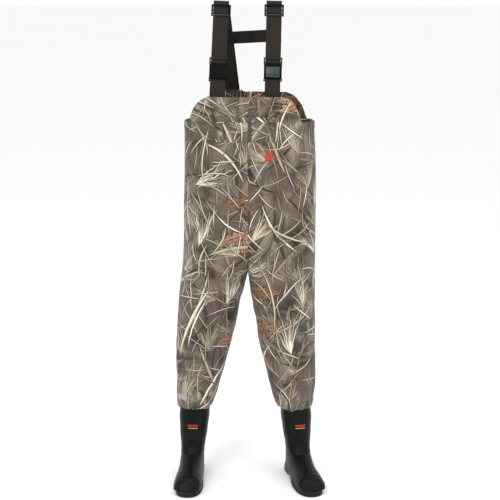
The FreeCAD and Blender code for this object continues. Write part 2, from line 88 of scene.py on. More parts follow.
# ---- small helpers ----
def interpolate(table, z, column=1):
    """A smooth curve through the table's rows, whose first column falls."""
    rows = sorted((row[0], row[column]) for row in table)
    if z <= rows[0][0]:
        return rows[0][1]
    if z >= rows[-1][0]:
        return rows[-1][1]
    slopes = []
    for i in range(len(rows)):
        low, high = rows[max(i - 1, 0)], rows[min(i + 1, len(rows) - 1)]
        slopes.append((high[1] - low[1]) / (high[0] - low[0]))
    i = max(k for k in range(len(rows) - 1) if rows[k][0] <= z)
    span = rows[i + 1][0] - rows[i][0]
    t = (z - rows[i][0]) / span
    h00 = 2 * t**3 - 3 * t**2 + 1
    h10 = t**3 - 2 * t**2 + t
    return (h00 * rows[i][1] + h10 * span * slopes[i]
            + (1 - h00) * rows[i + 1][1] + (t**3 - t**2) * span * slopes[i + 1])


def smooth(low, high, value):
    """0 below low, 1 above high, and an S-curve between."""
    t = np.clip((value - low) / (high - low), 0, 1)
    return t * t * (3 - 2 * t)


def bump(value, centre, width):
    """A bell of height 1 at centre."""
    return np.exp(-((value - centre) / width) ** 2)


def signed_power(value, exponent):
    """A power that keeps the sign, for superellipses."""
    return np.sign(value) * np.abs(value) ** exponent


class Ripples:
    """Smooth seeded noise: a sum of waves in random directions."""

    def __init__(self, seed, shortest, longest, count=14):
        rng = np.random.default_rng(seed)
        directions = rng.normal(size=(count, 3))
        directions /= np.linalg.norm(directions, axis=1)[:, None]
        lengths = shortest * (longest / shortest) ** rng.random(count)
        self.waves = directions * (2 * math.pi / lengths)[:, None]
        self.phases = rng.random(count) * 2 * math.pi
        self.scale = math.sqrt(2 / count)

    def __call__(self, points, stretch=(1, 1, 1)):
        return np.sin((points * stretch) @ self.waves.T + self.phases).sum(axis=-1) * self.scale


def placed(points):
    """Points measured up from the soles, in the frame."""
    return np.asarray(points, float) - (0, 0, HANG_HEIGHT)


def make_object(name, vertices, faces, uvs=None, normals=None):
    """A mesh object from points already in the frame, with one UV per point if given."""
    mesh = bpy.data.meshes.new(name)
    mesh.from_pydata([tuple(map(float, v)) for v in vertices], [], [tuple(map(int, f)) for f in faces])
    mesh.validate()
    if uvs is not None:
        layer = mesh.uv_layers.new(name="print")
        corners = np.zeros(len(mesh.loops), np.int32)
        mesh.loops.foreach_get("vertex_index", corners)
        layer.data.foreach_set("uv", np.asarray(uvs, np.float32)[corners].ravel())
    mesh.polygons.foreach_set("use_smooth", [True] * len(mesh.polygons))
    if normals is not None:
        mesh.normals_split_custom_set_from_vertices([tuple(map(float, n)) for n in normals])
    mesh.update()
    piece = bpy.data.objects.new(name, mesh)
    bpy.context.scene.collection.objects.link(piece)
    return piece


def grid_faces(rows, columns, close=False):
    """Quads over a grid of rows x columns points, the last column joined to the first if closed."""
    faces = []
    for i in range(rows - 1):
        for j in range(columns if close else columns - 1):
            k = (j + 1) % columns
            faces.append((i * columns + j, i * columns + k, (i + 1) * columns + k, (i + 1) * columns + j))
    return faces


def grid_normals(points):
    """Unit normals of a grid of points with shape (rows, columns, 3)."""
    along, across = np.gradient(points, axis=0), np.gradient(points, axis=1)
    normals = np.cross(across, along)
    return normals / np.maximum(np.linalg.norm(normals, axis=2, keepdims=True), 1e-12)


def shell(name, outer, uv, thick, normals=None):
    """A sheet of cloth as a closed shell: its outer grid, an inner one, and a rounded rim."""
    rows, columns = outer.shape[:2]
    if normals is None:
        normals = grid_normals(outer)
    count = rows * columns
    flat, flat_normals, flat_uv = outer.reshape(-1, 3), normals.reshape(-1, 3), uv.reshape(-1, 2)
    inner = flat - flat_normals * thick
    faces = grid_faces(rows, columns)
    faces += [tuple(count + v for v in reversed(face)) for face in grid_faces(rows, columns)]
    ring = list(range(columns))
    ring += [i * columns + columns - 1 for i in range(1, rows)]
    ring += [(rows - 1) * columns + j for j in range(columns - 2, -1, -1)]
    ring += [i * columns for i in range(rows - 2, 0, -1)]
    ahead = flat[np.roll(ring, -1)] - flat[np.roll(ring, 1)]
    outward = np.cross(ahead, flat_normals[ring])
    outward /= np.maximum(np.linalg.norm(outward, axis=1, keepdims=True), 1e-9)
    rim = flat[ring] - flat_normals[ring] * thick / 2 + outward * thick * 0.35
    base = 2 * count
    for k, v in enumerate(ring):
        n = (k + 1) % len(ring)
        faces.append((v, base + k, base + n, ring[n]))
        faces.append((base + k, count + v, count + ring[n], base + n))
    points = np.concatenate([flat, inner, rim])
    facing = np.concatenate([flat_normals, -flat_normals, outward])
    uvs = np.concatenate([flat_uv, flat_uv, flat_uv[ring]])
    return make_object(name, placed(points), faces, uvs, facing)


# ---- the fabric body's surface ----
def body_section(side, z):
    """Centre, outer, inner and front half widths, and squareness, of one half of the body."""
    depth = interpolate(DEPTH, z)
    if z >= TORSO_BOTTOM:
        edge = interpolate(TORSO_EDGE[side], z)
        return 0.0, edge, edge, depth, TORSO_SQUARENESS, 0.0
    if z <= CROTCH:
        centre, half = interpolate(LEG[side], z), interpolate(LEG[side], z, 2)
        return centre, half, half, depth, LEG_SQUARENESS, 1.0
    up = (z - CROTCH) / CROTCH_RISE
    ease = up * up * (3 - 2 * up)
    square = LEG_SQUARENESS + (TORSO_SQUARENESS - LEG_SQUARENESS) * ease
    edge, crotch_half = interpolate(TORSO_EDGE[side], z), LEG[side][0][2]
    inner = crotch_half + (edge - crotch_half) * ease
    reach = (1 - (2 * up - up * up) ** (square / 2)) ** (1 / square)
    return reach * inner, edge - reach * inner, inner, depth, square, reach


def body_arc(side, z, shares):
    """Points at shares of the way round one half of the body, from its front seam to its back seam.

    Also gives the length of the whole way round.
    """
    centre, outer, inner, depth, square, reach = body_section(side, z)
    last = math.pi - math.acos(min(reach, 1.0) ** (square / 2))
    angles = np.linspace(last, -last, 721)
    across, forward = np.cos(angles), np.sin(angles)
    half = np.where(across > 0, outer, inner)
    x = centre + half * signed_power(across, 2 / square)
    y = -depth * signed_power(forward, 2 / square)
    steps = np.hypot(np.diff(x), np.diff(y))
    length = np.concatenate([[0.0], np.cumsum(steps)])
    where = np.asarray(shares) * length[-1]
    x, y = np.interp(where, length, x), np.interp(where, length, y)
    return np.stack([SIDES[side] * x, y, np.full_like(x, z)], axis=-1), length[-1]


def hem_height(x, y, side):
    """The bib's hem: flat in front and behind, rounded shoulders, level armholes."""
    heights = []
    for shoulder in (FRONT_SHOULDER, BACK_SHOULDER):
        flat, width = shoulder[side]
        beyond = np.clip((np.abs(x) - flat) / width, 0, 1)
        heights.append(ARMHOLE + (BIB_TOP - ARMHOLE) * np.sqrt(1 - beyond**2.2))
    return np.where(y < 0, heights[0], heights[1])


SEAM_STEPS = [0, .0012, .0024, .004, .0065, .010]      # extra columns beside the centre seams


def column_shares():
    """Shares of the way round where the fabric's columns run, close together at both seams."""
    around = 0.64
    near = [step / around for step in SEAM_STEPS]
    middle = np.linspace(near[-1], 1 - near[-1], 128)[1:-1]
    return np.array(near + list(middle) + [1 - share for share in reversed(near)])


SHARES = column_shares()
LARGE_RIPPLES = Ripples(3, 0.16, 0.42)
SMALL_RIPPLES = Ripples(4, 0.045, 0.12)
GATHER_RIPPLES = Ripples(5, 0.020, 0.034)


def drape(points, z, seam_distance):
    """How far the cloth stands out from the plain surface: soft swells, folds, gathers and seams."""
    x, y = points[..., 0], points[..., 1]
    front = smooth(0.02, -0.05, y)
    leg = smooth(0.76, 0.66, z)
    out = 0.0026 * LARGE_RIPPLES(points, (1, 1, 0.6))
    out = out + (0.0006 + 0.0011 * leg) * SMALL_RIPPLES(points, (0.8, 0.8, 1.3))
    # bands of folds across the knees, deeper in front and behind than at the sides
    knee = bump(z, 0.50, 0.085)
    slope = 0.22 * x * np.sign(x)
    facing = 0.35 + 0.65 * smooth(0.0, -0.05, y) + 0.45 * smooth(0.02, 0.06, y)
    uneven = 2.5 * LARGE_RIPPLES(points)
    out = out + 0.0020 * knee * facing * np.sin((z + slope) * 2 * math.pi / 0.047 + uneven)
    # drag lines that fan down and out from the crotch
    fan = np.hypot(x, z - CROTCH)
    angle = np.arctan2(z - CROTCH, np.abs(x) + 1e-6)
    lines = bump(angle, -0.75, 0.55) * smooth(0.26, 0.04, fan)
    out = out + 0.0030 * lines * np.sin(angle * 13 + x * 5)
    # the cloth blouses over the gathered cuff
    out = out + 0.0022 * bump(z, 0.330, 0.035) * (0.6 + 0.4 * SMALL_RIPPLES(points, (1, 1, 0.2)))
    cuff = smooth(0.325, 0.270, z)
    out = out + 0.0024 * cuff * GATHER_RIPPLES(points, (1, 1, 0.10))
    # gathers behind, under the elastic of the back hem
    behind = smooth(0.02, 0.08, y) * smooth(1.27, 1.33, z)
    out = out + 0.0030 * behind * GATHER_RIPPLES(points, (1, 1, 0.15))
    # the cloth moves much less under the pocket and the front hem
    out = out * (1 - 0.85 * front * smooth(1.10, 1.16, z))
    groove = 0.0016 * np.exp(-(seam_distance / 0.0026) ** 2) - 0.0008 * bump(seam_distance, 0.006, 0.003)
    return out - groove


LEVELS = np.arange(0.255, 1.345, 0.005)
ARCS = {side: [body_arc(side, z, SHARES) for z in LEVELS] for side in SIDES}
ARC_POINTS = {side: np.array([arc for arc, _ in ARCS[side]]) for side in SIDES}
ARC_LENGTHS = {side: np.array([length for _, length in ARCS[side]]) for side in SIDES}
PRINT_SHIFT = {"left": (0.0, 0.0), "right": (2.37, 1.06)}     # so that the two halves are cut differently


def seam_normals(side, points, normals, seam_distance):
    """Both halves of the body stand out the same way where they meet, and so do both edges of a leg."""
    at_seam = seam_distance < 1e-6
    above = at_seam & (points[..., 2] > CROTCH)
    normals = normals.copy()
    normals[at_seam] = (-SIDES[side], 0, 0)
    normals[above] = 0
    normals[above, 1] = np.where(points[above, 1] > 0, 1.0, -1.0)
    return normals


def on_body(side, z, columns=slice(None), offset=0.0):
    """Surface points, print coordinates and normals of one half of the body.

    z has a row for each level and a column for each of the chosen columns, and so have the results, in an
    order that always puts the outside of the cloth on the same side of the grid.
    """
    shares = SHARES[columns]
    points = np.zeros(z.shape + (3,))
    around = np.zeros(z.shape)
    for j, share in enumerate(shares):
        k = int(np.argmin(np.abs(SHARES - share)))
        for axis in (0, 1):
            points[:, j, axis] = np.interp(z[:, j], LEVELS, ARC_POINTS[side][:, k, axis])
        around[:, j] = np.interp(z[:, j], LEVELS, ARC_LENGTHS[side])
    points[..., 2] = z
    uv = np.stack([(shares[None, :] - 0.5) * around, z], axis=-1)
    seam = np.minimum(shares, 1 - shares)[None, :] * around
    if side == "right":
        points, uv, seam, z = points[:, ::-1], uv[:, ::-1] * (-1, 1), seam[:, ::-1], z[:, ::-1]
    uv = uv + PRINT_SHIFT[side]
    normals = seam_normals(side, points, grid_normals(points), seam)
    # the sides, which hang straight, fold less than the front and back
    straight = 1 - 0.7 * normals[..., 0] ** 2
    offset = offset + drape(points, z, seam) * straight
    points = points + normals * offset[..., None]
    return points, uv, grid_normals(points)


def hem_line(side):
    """Height of the hem over each column of one half of the body."""
    near_hem, _ = body_arc(side, 1.29, SHARES)
    hem = hem_height(near_hem[:, 0], near_hem[:, 1], side)
    for _ in range(3):
        hem = np.convolve(np.pad(hem, 1, mode="edge"), [0.25, 0.5, 0.25], mode="valid")
    return hem


def body_levels(side, low, high, spacing=0.0045):
    """Heights of a grid over half of the body between two heights, or up to the hem if high is None."""
    base = 1.13
    top = BIB_TOP if high is None else high
    levels = np.linspace(low, top, max(3, round((top - low) / spacing)) + 1)[:, None]
    if high is not None:
        return np.repeat(levels, len(SHARES), axis=1)
    share = np.clip((levels - base) / (top - base), 0, 1)
    return np.where(levels > base, base + (hem_line(side)[None, :] - base) * share, levels)


# ---- procedural materials ----
class Graph:
    """Short calls that add nodes to a material's or group's tree. Values are sockets or numbers."""

    def __init__(self, tree):
        self.tree = tree
        tree.nodes.clear()

    def add(self, kind, settings=(), **inputs):
        node = self.tree.nodes.new(kind)
        for name, value in dict(settings).items():
            setattr(node, name, value)
        for name, value in inputs.items():
            self.join(node.inputs[name.replace("_", " ")], value)
        return node

    def join(self, target, value):
        if isinstance(value, bpy.types.NodeSocket):
            self.tree.links.new(value, target)
        else:
            target.default_value = value

    def math(self, operation, *values):
        node = self.add("ShaderNodeMath", {"operation": operation})
        for target, value in zip(node.inputs, values):
            self.join(target, value)
        return node.outputs[0]

    def vector(self, operation, *values):
        node = self.add("ShaderNodeVectorMath", {"operation": operation})
        for target, value in zip(node.inputs, values):
            self.join(target, value)
        return node.outputs["Value" if operation == "LENGTH" else "Vector"]

    def split(self, vector):
        return self.add("ShaderNodeSeparateXYZ", Vector=vector).outputs[:3]

    def pair(self, vector):
        """x and y of a vector."""
        sockets = []
        for axis in ((1.0, 0.0, 0.0), (0.0, 1.0, 0.0)):
            node = self.add("ShaderNodeVectorMath", {"operation": "DOT_PRODUCT"})
            self.join(node.inputs[0], vector)
            self.join(node.inputs[1], axis)
            sockets.append(node.outputs["Value"])
        return sockets

    def merge(self, x, y, z=0.0):
        return self.add("ShaderNodeCombineXYZ", X=x, Y=y, Z=z).outputs[0]

    def random(self, *values):
        """Three random numbers for each set of values."""
        node = self.add("ShaderNodeTexWhiteNoise", {"noise_dimensions": "3D"}, Vector=self.merge(*values))
        return self.add("ShaderNodeSeparateColor", Color=node.outputs["Color"]).outputs[:3]

    def noise(self, vector, scale, detail=4.0, rough=0.5, distortion=0.0):
        node = self.add("ShaderNodeTexNoise", Vector=vector, Scale=scale, Detail=detail, Roughness=rough)
        self.join(node.inputs["Distortion"], distortion)
        return node.outputs["Fac"]

    def step(self, low, high, value):
        """An S-curve from 0 at low to 1 at high; low may be above high."""
        node = self.add("ShaderNodeMapRange", {"interpolation_type": "SMOOTHSTEP"},
                        Value=value, From_Min=low, From_Max=high)
        return node.outputs["Result"]

    def mix(self, factor, first, second, blend="MIX"):
        node = self.add("ShaderNodeMix", {"data_type": "RGBA", "blend_type": blend})
        self.join(node.inputs[0], factor)
        self.join(node.inputs[6], first)
        self.join(node.inputs[7], second)
        return node.outputs[2]

    def ramp(self, value, stops):
        node = self.add("ShaderNodeValToRGB", Fac=value)
        elements = node.color_ramp.elements
        while len(elements) < len(stops):
            elements.new(0.5)
        for element, (place, colour) in zip(elements, stops):
            element.position = place
            element.color = hex_colour(colour)
        return node.outputs["Color"]

    def bump(self, height, distance, strength=1.0):
        node = self.add("ShaderNodeBump", Height=height, Distance=distance, Strength=strength)
        return node.outputs["Normal"]


def hex_colour(text):
    """Linear RGBA of an sRGB hex colour."""
    channels = [int(text[i:i + 2], 16) / 255 for i in (1, 3, 5)]
    return (*[c / 12.92 if c <= 0.04045 else ((c + 0.055) / 1.055) ** 2.4 for c in channels], 1.0)


def new_material(name):
    """A material: itself, its graph and the inputs of its shader."""
    material = bpy.data.materials.new(name)
    material.use_nodes = True
    graph = Graph(material.node_tree)
    shader = graph.add("ShaderNodeBsdfPrincipled")
    output = graph.add("ShaderNodeOutputMaterial")
    graph.join(output.inputs["Surface"], shader.outputs[0])
    return material, graph, shader.inputs


def new_group(name, inputs, outputs):
    """A node group: its tree, its graph, its input sockets by name, and its output node."""
    tree = bpy.data.node_groups.new(name, "ShaderNodeTree")
    for label, kind in inputs:
        tree.interface.new_socket(label, in_out="INPUT", socket_type=kind)
    for label, kind in outputs:
        tree.interface.new_socket(label, in_out="OUTPUT", socket_type=kind)
    graph = Graph(tree)
    sockets = graph.add("NodeGroupInput").outputs
    return tree, graph, {label: sockets[label] for label, _ in inputs}, graph.add("NodeGroupOutput").inputs


FLOAT, VECTOR = "NodeSocketFloat", "NodeSocketVector"
PRINT_INPUTS = [(label, FLOAT) for label in
                ("X", "Y", "Size", "Seed", "Lean", "Spread", "Width", "Bend", "Share")]
PRINT_OUTPUTS = [("Mask", FLOAT), ("Shadow", FLOAT), ("Across", FLOAT), ("Random", FLOAT), ("Along", FLOAT)]


def cells(graph, given):
    """Each square cell's own coordinates from -0.5 to 0.5, and six random numbers."""
    seed = given["Seed"]
    local, cell = [], []
    for axis, shift in (("X", 0.37), ("Y", 0.71)):
        place = graph.math("ADD", graph.math("DIVIDE", given[axis], given["Size"]),
                           graph.math("MULTIPLY", seed, shift))
        cell.append(graph.math("FLOOR", place))
        local.append(graph.math("SUBTRACT", graph.math("FRACT", place), 0.5))
    numbers = [*graph.random(*cell, seed), *graph.random(*cell, graph.math("ADD", seed, 51.3))]
    return (*local, numbers)


def turned(graph, x, y, angle):
    """Coordinates turned by an angle."""
    cosine, sine = graph.math("COSINE", angle), graph.math("SINE", angle)
    return (graph.math("ADD", graph.math("MULTIPLY", x, cosine), graph.math("MULTIPLY", y, sine)),
            graph.math("SUBTRACT", graph.math("MULTIPLY", y, cosine), graph.math("MULTIPLY", x, sine)))


def centred(graph, number, reach):
    """A random number from 0 to 1, moved to run from -reach to reach."""
    return graph.math("MULTIPLY", graph.math("SUBTRACT", number, 0.5), graph.math("MULTIPLY", reach, 2.0))


def reeds_group():
    """One bent, pointed reed in each cell."""
    tree, g, given, out = new_group("reeds", PRINT_INPUTS, PRINT_OUTPUTS)
    x, y, numbers = cells(g, given)
    angle = g.math("ADD", given["Lean"], centred(g, numbers[0], given["Spread"]))
    x = g.math("ADD", x, centred(g, numbers[1], 0.07))
    x, y = turned(g, x, y, angle)
    curve = g.math("MULTIPLY", centred(g, numbers[2], given["Bend"]), 4.0)
    square = g.math("SUBTRACT", g.math("MULTIPLY", y, y), 0.07)
    x = g.math("ADD", x, g.math("MULTIPLY", curve, square))
    along = g.math("ADD", g.math("DIVIDE", y, 0.92), 0.5)
    taper = g.math("MULTIPLY", g.math("MULTIPLY", along, g.math("SUBTRACT", 1.0, along)), 4.0)
    taper = g.math("POWER", g.math("MAXIMUM", taper, 0.0), 0.7)
    width = g.math("MULTIPLY", given["Width"], g.math("ADD", 0.4, numbers[3]))
    half = g.math("MULTIPLY", g.math("DIVIDE", g.math("MULTIPLY", width, 0.5), given["Size"]), taper)
    finish_strand(g, out, x, half, along, numbers, given, 0.0006)
    return tree


def finish_strand(g, out, x, half, along, numbers, given, softness):
    """A strand's mask, shadow and shading from its own coordinates."""
    soft = g.math("DIVIDE", softness, given["Size"])
    gap = g.math("SUBTRACT", g.math("ABSOLUTE", x), half)
    inside = g.step(soft, g.math("MULTIPLY", soft, -1.0), gap)
    there = g.math("LESS_THAN", numbers[4], given["Share"])
    there = g.math("MULTIPLY", there, g.math("GREATER_THAN", half, 0.0))
    g.join(out["Mask"], g.math("MULTIPLY", inside, there))
    side = g.math("SUBTRACT", g.math("ABSOLUTE", g.math("ADD", x, g.math("MULTIPLY", soft, 2.0))), half)
    shadow = g.step(g.math("MULTIPLY", soft, 6.0), 0.0, side)
    g.join(out["Shadow"], g.math("MULTIPLY", shadow, there))
    g.join(out["Across"], g.math("DIVIDE", x, g.math("MAXIMUM", half, 0.0001)))
    g.join(out["Random"], numbers[5])
    g.join(out["Along"], along)


def tufts_group():
    """A fan of fine grass in each cell, growing from one root."""
    tree, g, given, out = new_group("tufts", PRINT_INPUTS, PRINT_OUTPUTS)
    x, y, numbers = cells(g, given)
    turn = g.math("ADD", given["Lean"], centred(g, numbers[0], 0.9))
    x, y = turned(g, x, y, turn)
    y = g.math("ADD", y, 0.42)
    radius = g.math("SQRT", g.math("ADD", g.math("MULTIPLY", x, x), g.math("MULTIPLY", y, y)))
    angle = g.math("ARCTAN2", x, y)
    angle = g.math("ADD", angle, g.math("MULTIPLY", centred(g, numbers[1], given["Bend"]), radius))
    fine = g.math("MULTIPLY", g.noise(g.merge(x, y, numbers[2]), 6.0, 1.0), 0.16)
    angle = g.math("ADD", angle, fine)
    blades = 14.0
    place = g.math("MULTIPLY", angle, blades)
    index = g.math("FLOOR", place)
    own = g.random(index, numbers[3], numbers[4])
    off = g.math("SUBTRACT", g.math("SUBTRACT", g.math("FRACT", place), 0.5), centred(g, own[0], 0.25))
    x = g.math("DIVIDE", g.math("MULTIPLY", off, radius), blades)
    reach = g.math("ADD", 0.35, g.math("MULTIPLY", own[1], 0.5))
    along = g.math("DIVIDE", radius, reach)
    taper = g.math("MAXIMUM", g.math("SUBTRACT", 1.0, g.math("POWER", along, 3.0)), 0.0)
    fan = g.math("LESS_THAN", g.math("ABSOLUTE", angle), given["Spread"])
    width = g.math("DIVIDE", g.math("MULTIPLY", given["Width"], g.math("ADD", 0.3, own[2])), given["Size"])
    half = g.math("MULTIPLY", g.math("MULTIPLY", width, 0.5), g.math("MULTIPLY", taper, fan))
    finish_strand(g, out, x, half, along, [*numbers[:5], own[1]], given, 0.0005)
    return tree


def leaves_group():
    """One lobed leaf in each cell that has any."""
    tree, g, given, out = new_group("leaves", PRINT_INPUTS, PRINT_OUTPUTS)
    x, y, numbers = cells(g, given)
    x, y = turned(g, x, y, g.math("ADD", given["Lean"], centred(g, numbers[0], 0.7)))
    y = g.math("ADD", y, 0.16)
    curl = g.math("MULTIPLY", g.math("MULTIPLY", y, y), centred(g, numbers[1], 0.8))
    x = g.math("ADD", x, curl)
    along = g.math("ADD", g.math("DIVIDE", y, 0.62), 0.5)
    body = g.math("MAXIMUM", g.math("MULTIPLY", along, g.math("SUBTRACT", 1.0, along)), 0.0)
    body = g.math("POWER", body, 0.75)
    slant = g.math("MULTIPLY", g.math("ABSOLUTE", x), 0.9)
    lobes = g.math("SINE", g.math("MULTIPLY", g.math("ADD", along, slant), 21.0))
    half = g.math("MULTIPLY", body, g.math("ADD", 0.36, g.math("MULTIPLY", lobes, 0.12)))
    finish_strand(g, out, x, half, along, numbers, given, 0.0009)
    return tree


def camo_group():
    """The whole print: out-of-focus marsh, branches, reeds, tufts of grass and oak leaves.

    Each layer is nudged a little where the one before it lies. Cycles then has to finish one layer before
    it starts the next, which keeps the compiled shader small enough.
    """
    tree, g, given, out = new_group("marsh_print", [("Vector", VECTOR)], [("Color", "NodeSocketColor")])
    x, y = g.pair(given["Vector"])
    wave_x = g.math("SUBTRACT", g.noise(g.merge(x, y), 5.0, 1.0), 0.5)
    wave_y = g.math("SUBTRACT", g.noise(g.merge(y, x, 5.0), 5.0, 1.0), 0.5)

    def cloud(layer, scale, detail, rough=0.5, distortion=0.0, across=1.0, down=1.0):
        """Soft uneven patches."""
        place = [g.math("MULTIPLY", g.math("MULTIPLY_ADD", wave, 0.09, coordinate), stretch)
                 for wave, coordinate, stretch in ((wave_x, x, across), (wave_y, y, down))]
        return g.noise(g.merge(*place, float(layer)), scale, detail, rough, distortion)

    colour = g.ramp(cloud(0, 11.0, 3.0, 0.55, 0.4, down=0.75), [
        (0.32, "#1e1916"), (0.40, "#3f352f"), (0.47, "#5c5048"), (0.55, "#6c6058"),
        (0.62, "#857a6f"), (0.70, "#b6b1ab")])
    purple = g.step(0.50, 0.66, cloud(3, 6.5, 2.0))
    colour = g.mix(g.math("MULTIPLY", purple, 0.75), colour, hex_colour("#64504b"))
    mossy = g.step(0.55, 0.70, cloud(9, 8.0, 2.0))
    colour = g.mix(g.math("MULTIPLY", mossy, 0.65), colour, hex_colour("#4f5647"))
    pale = g.step(0.60, 0.74, cloud(5, 10.0, 2.0))
    colour = g.mix(g.math("MULTIPLY", pale, 0.6), colour, hex_colour("#aca7a6"))
    grain = cloud(7, 60.0, 3.0, across=3.0)
    colour = g.mix(0.35, colour, g.ramp(grain, [(0.3, "#4c443e"), (0.7, "#a09584")]), "OVERLAY")

    groups = {"reeds": reeds_group(), "tufts": tufts_group(), "leaves": leaves_group()}

    def layer(colour, nudge, kind, seed, tones, shade=0.5, shadow=0.55, strength=1.0, tilt=0.0,
              rib=False, **settings):
        """One layer of the print laid over a colour, and the nudge it gives the next."""
        cosine, sine = math.cos(tilt), math.sin(tilt)
        places = [g.math("MULTIPLY_ADD", wave, 0.03, g.math("ADD", g.math("MULTIPLY", x, by_x),
                                                            g.math("MULTIPLY", y, by_y)))
                  for wave, by_x, by_y in ((wave_x, cosine, sine), (wave_y, -sine, cosine))]
        node = g.add("ShaderNodeGroup")
        node.node_tree = groups[kind]
        g.join(node.inputs["X"], g.math("MULTIPLY_ADD", nudge, 0.0003, places[0]))
        g.join(node.inputs["Y"], places[1])
        g.join(node.inputs["Seed"], float(seed))
        for label, value in settings.items():
            g.join(node.inputs[label.capitalize()], value)
        mask, under, across, number, along = node.outputs
        colour = g.mix(g.math("MULTIPLY", under, shadow), colour, hex_colour("#2b2420"))
        own = g.ramp(number, tones)
        own = g.mix(g.math("MULTIPLY", g.step(-0.2, 1.0, across), shade), own, hex_colour("#40342b"))
        place = g.merge(g.math("MULTIPLY", across, 2.0), g.math("MULTIPLY", along, 5.0), number)
        streak = g.noise(place, 2.0, 2.0)
        own = g.mix(g.math("MULTIPLY", g.step(0.5, 0.75, streak), 0.45), own, hex_colour("#6c5a47"))
        if rib:
            vein = g.math("SINE", g.math("MULTIPLY", g.math("ADD", along, g.math("ABSOLUTE", across)), 34.0))
            own = g.mix(g.math("MULTIPLY", g.step(0.3, 1.0, vein), 0.4), own, hex_colour("#e0b184"))
            own = g.mix(g.step(0.16, 0.05, g.math("ABSOLUTE", across)), own, hex_colour("#3d241a"))
        return g.mix(g.math("MULTIPLY", mask, strength), colour, own), mask

    nudge = grain
    dull = [(0.0, "#4a423a"), (0.35, "#776b5d"), (0.7, "#92866f"), (1.0, "#5f574b")]
    dark = [(0.0, "#1c1714"), (0.5, "#2e2621"), (1.0, "#34342e")]
    straw = [(0.0, "#6c6151"), (0.35, "#a0937a"), (0.7, "#c9bea1"), (1.0, "#7d7464")]
    cream = [(0.0, "#a3967a"), (0.3, "#cbbf9f"), (0.65, "#e4dcc3"), (1.0, "#f6f2e4")]
    rust = [(0.0, "#5c3d2d"), (0.5, "#835842"), (1.0, "#ac8468")]
    for kind, seed, tones, strength, shadow, tilt, size, lean, spread, width, bow, share in (
            ("reeds", 11, dull, 0.65, 0.35, 0.0, 0.15, 0.2, 1.1, 0.024, 0.15, 0.95),
            ("reeds", 12, dark, 0.85, 0.35, 0.7, 0.20, 0.3, 1.5, 0.012, 0.20, 0.95),
            ("reeds", 13, dark, 0.85, 0.25, -0.4, 0.12, 0.8, 1.6, 0.007, 0.20, 0.95),
            ("reeds", 17, dull, 0.85, 0.60, 0.9, 0.09, 0.0, 1.2, 0.008, 0.15, 0.95),
            ("tufts", 21, straw, 0.85, 0.55, 0.3, 0.14, 0.1, 0.6, 0.0036, 0.5, 0.70),
            ("reeds", 18, straw, 0.90, 0.60, -0.8, 0.075, 0.2, 1.2, 0.0032, 0.12, 0.95),
            ("reeds", 25, straw, 0.90, 0.60, 0.25, 0.105, -0.4, 1.0, 0.0042, 0.12, 0.90),
            ("reeds", 14, straw, 0.95, 0.65, 0.5, 0.17, -0.2, 1.0, 0.0075, 0.15, 0.85),
            ("reeds", 19, dark, 0.90, 0.30, 0.2, 0.16, 0.9, 1.4, 0.0075, 0.30, 0.90),
            ("reeds", 20, straw, 0.95, 0.65, -0.3, 0.13, 0.1, 1.1, 0.0048, 0.15, 0.90),
            ("tufts", 22, cream, 0.90, 0.60, -0.25, 0.17, -0.3, 0.45, 0.0036, 0.5, 0.45)):
        colour, nudge = layer(colour, nudge, kind, seed, tones, strength=strength, shadow=shadow, tilt=tilt,
                              size=size, lean=lean, spread=spread, width=width, bend=bow, share=share)
    for lean in (0.2, 1.7, -1.5):
        colour, nudge = layer(colour, nudge, "leaves", 31, rust, shade=0.75, shadow=0.9, size=0.125,
                              lean=lean, share=0.22, rib=True)
    for kind, seed, tones, tilt, size, lean, spread, width, bow, share in (
            ("reeds", 15, cream, -0.6, 0.22, 0.4, 1.3, 0.0095, 0.16, 0.80),
            ("reeds", 23, straw, 0.35, 0.12, 0.0, 0.9, 0.0032, 0.12, 0.85),
            ("reeds", 16, cream, 1.1, 0.13, 0.1, 1.5, 0.0038, 0.14, 0.85),
            ("reeds", 26, cream, -0.1, 0.09, 0.5, 1.5, 0.0026, 0.12, 0.85),
            ("reeds", 27, cream, 0.6, 0.105, -0.2, 1.2, 0.0028, 0.12, 0.85),
            ("reeds", 28, cream, 0.0, 0.19, 0.2, 1.0, 0.0050, 0.14, 0.80),
            ("reeds", 24, cream, 0.15, 0.28, -0.3, 0.8, 0.0085, 0.12, 0.60)):
        colour, nudge = layer(colour, nudge, kind, seed, tones, shadow=0.7, tilt=tilt, size=size, lean=lean,
                              spread=spread, width=width, bend=bow, share=share)
    g.join(out["Color"], colour)
    return tree


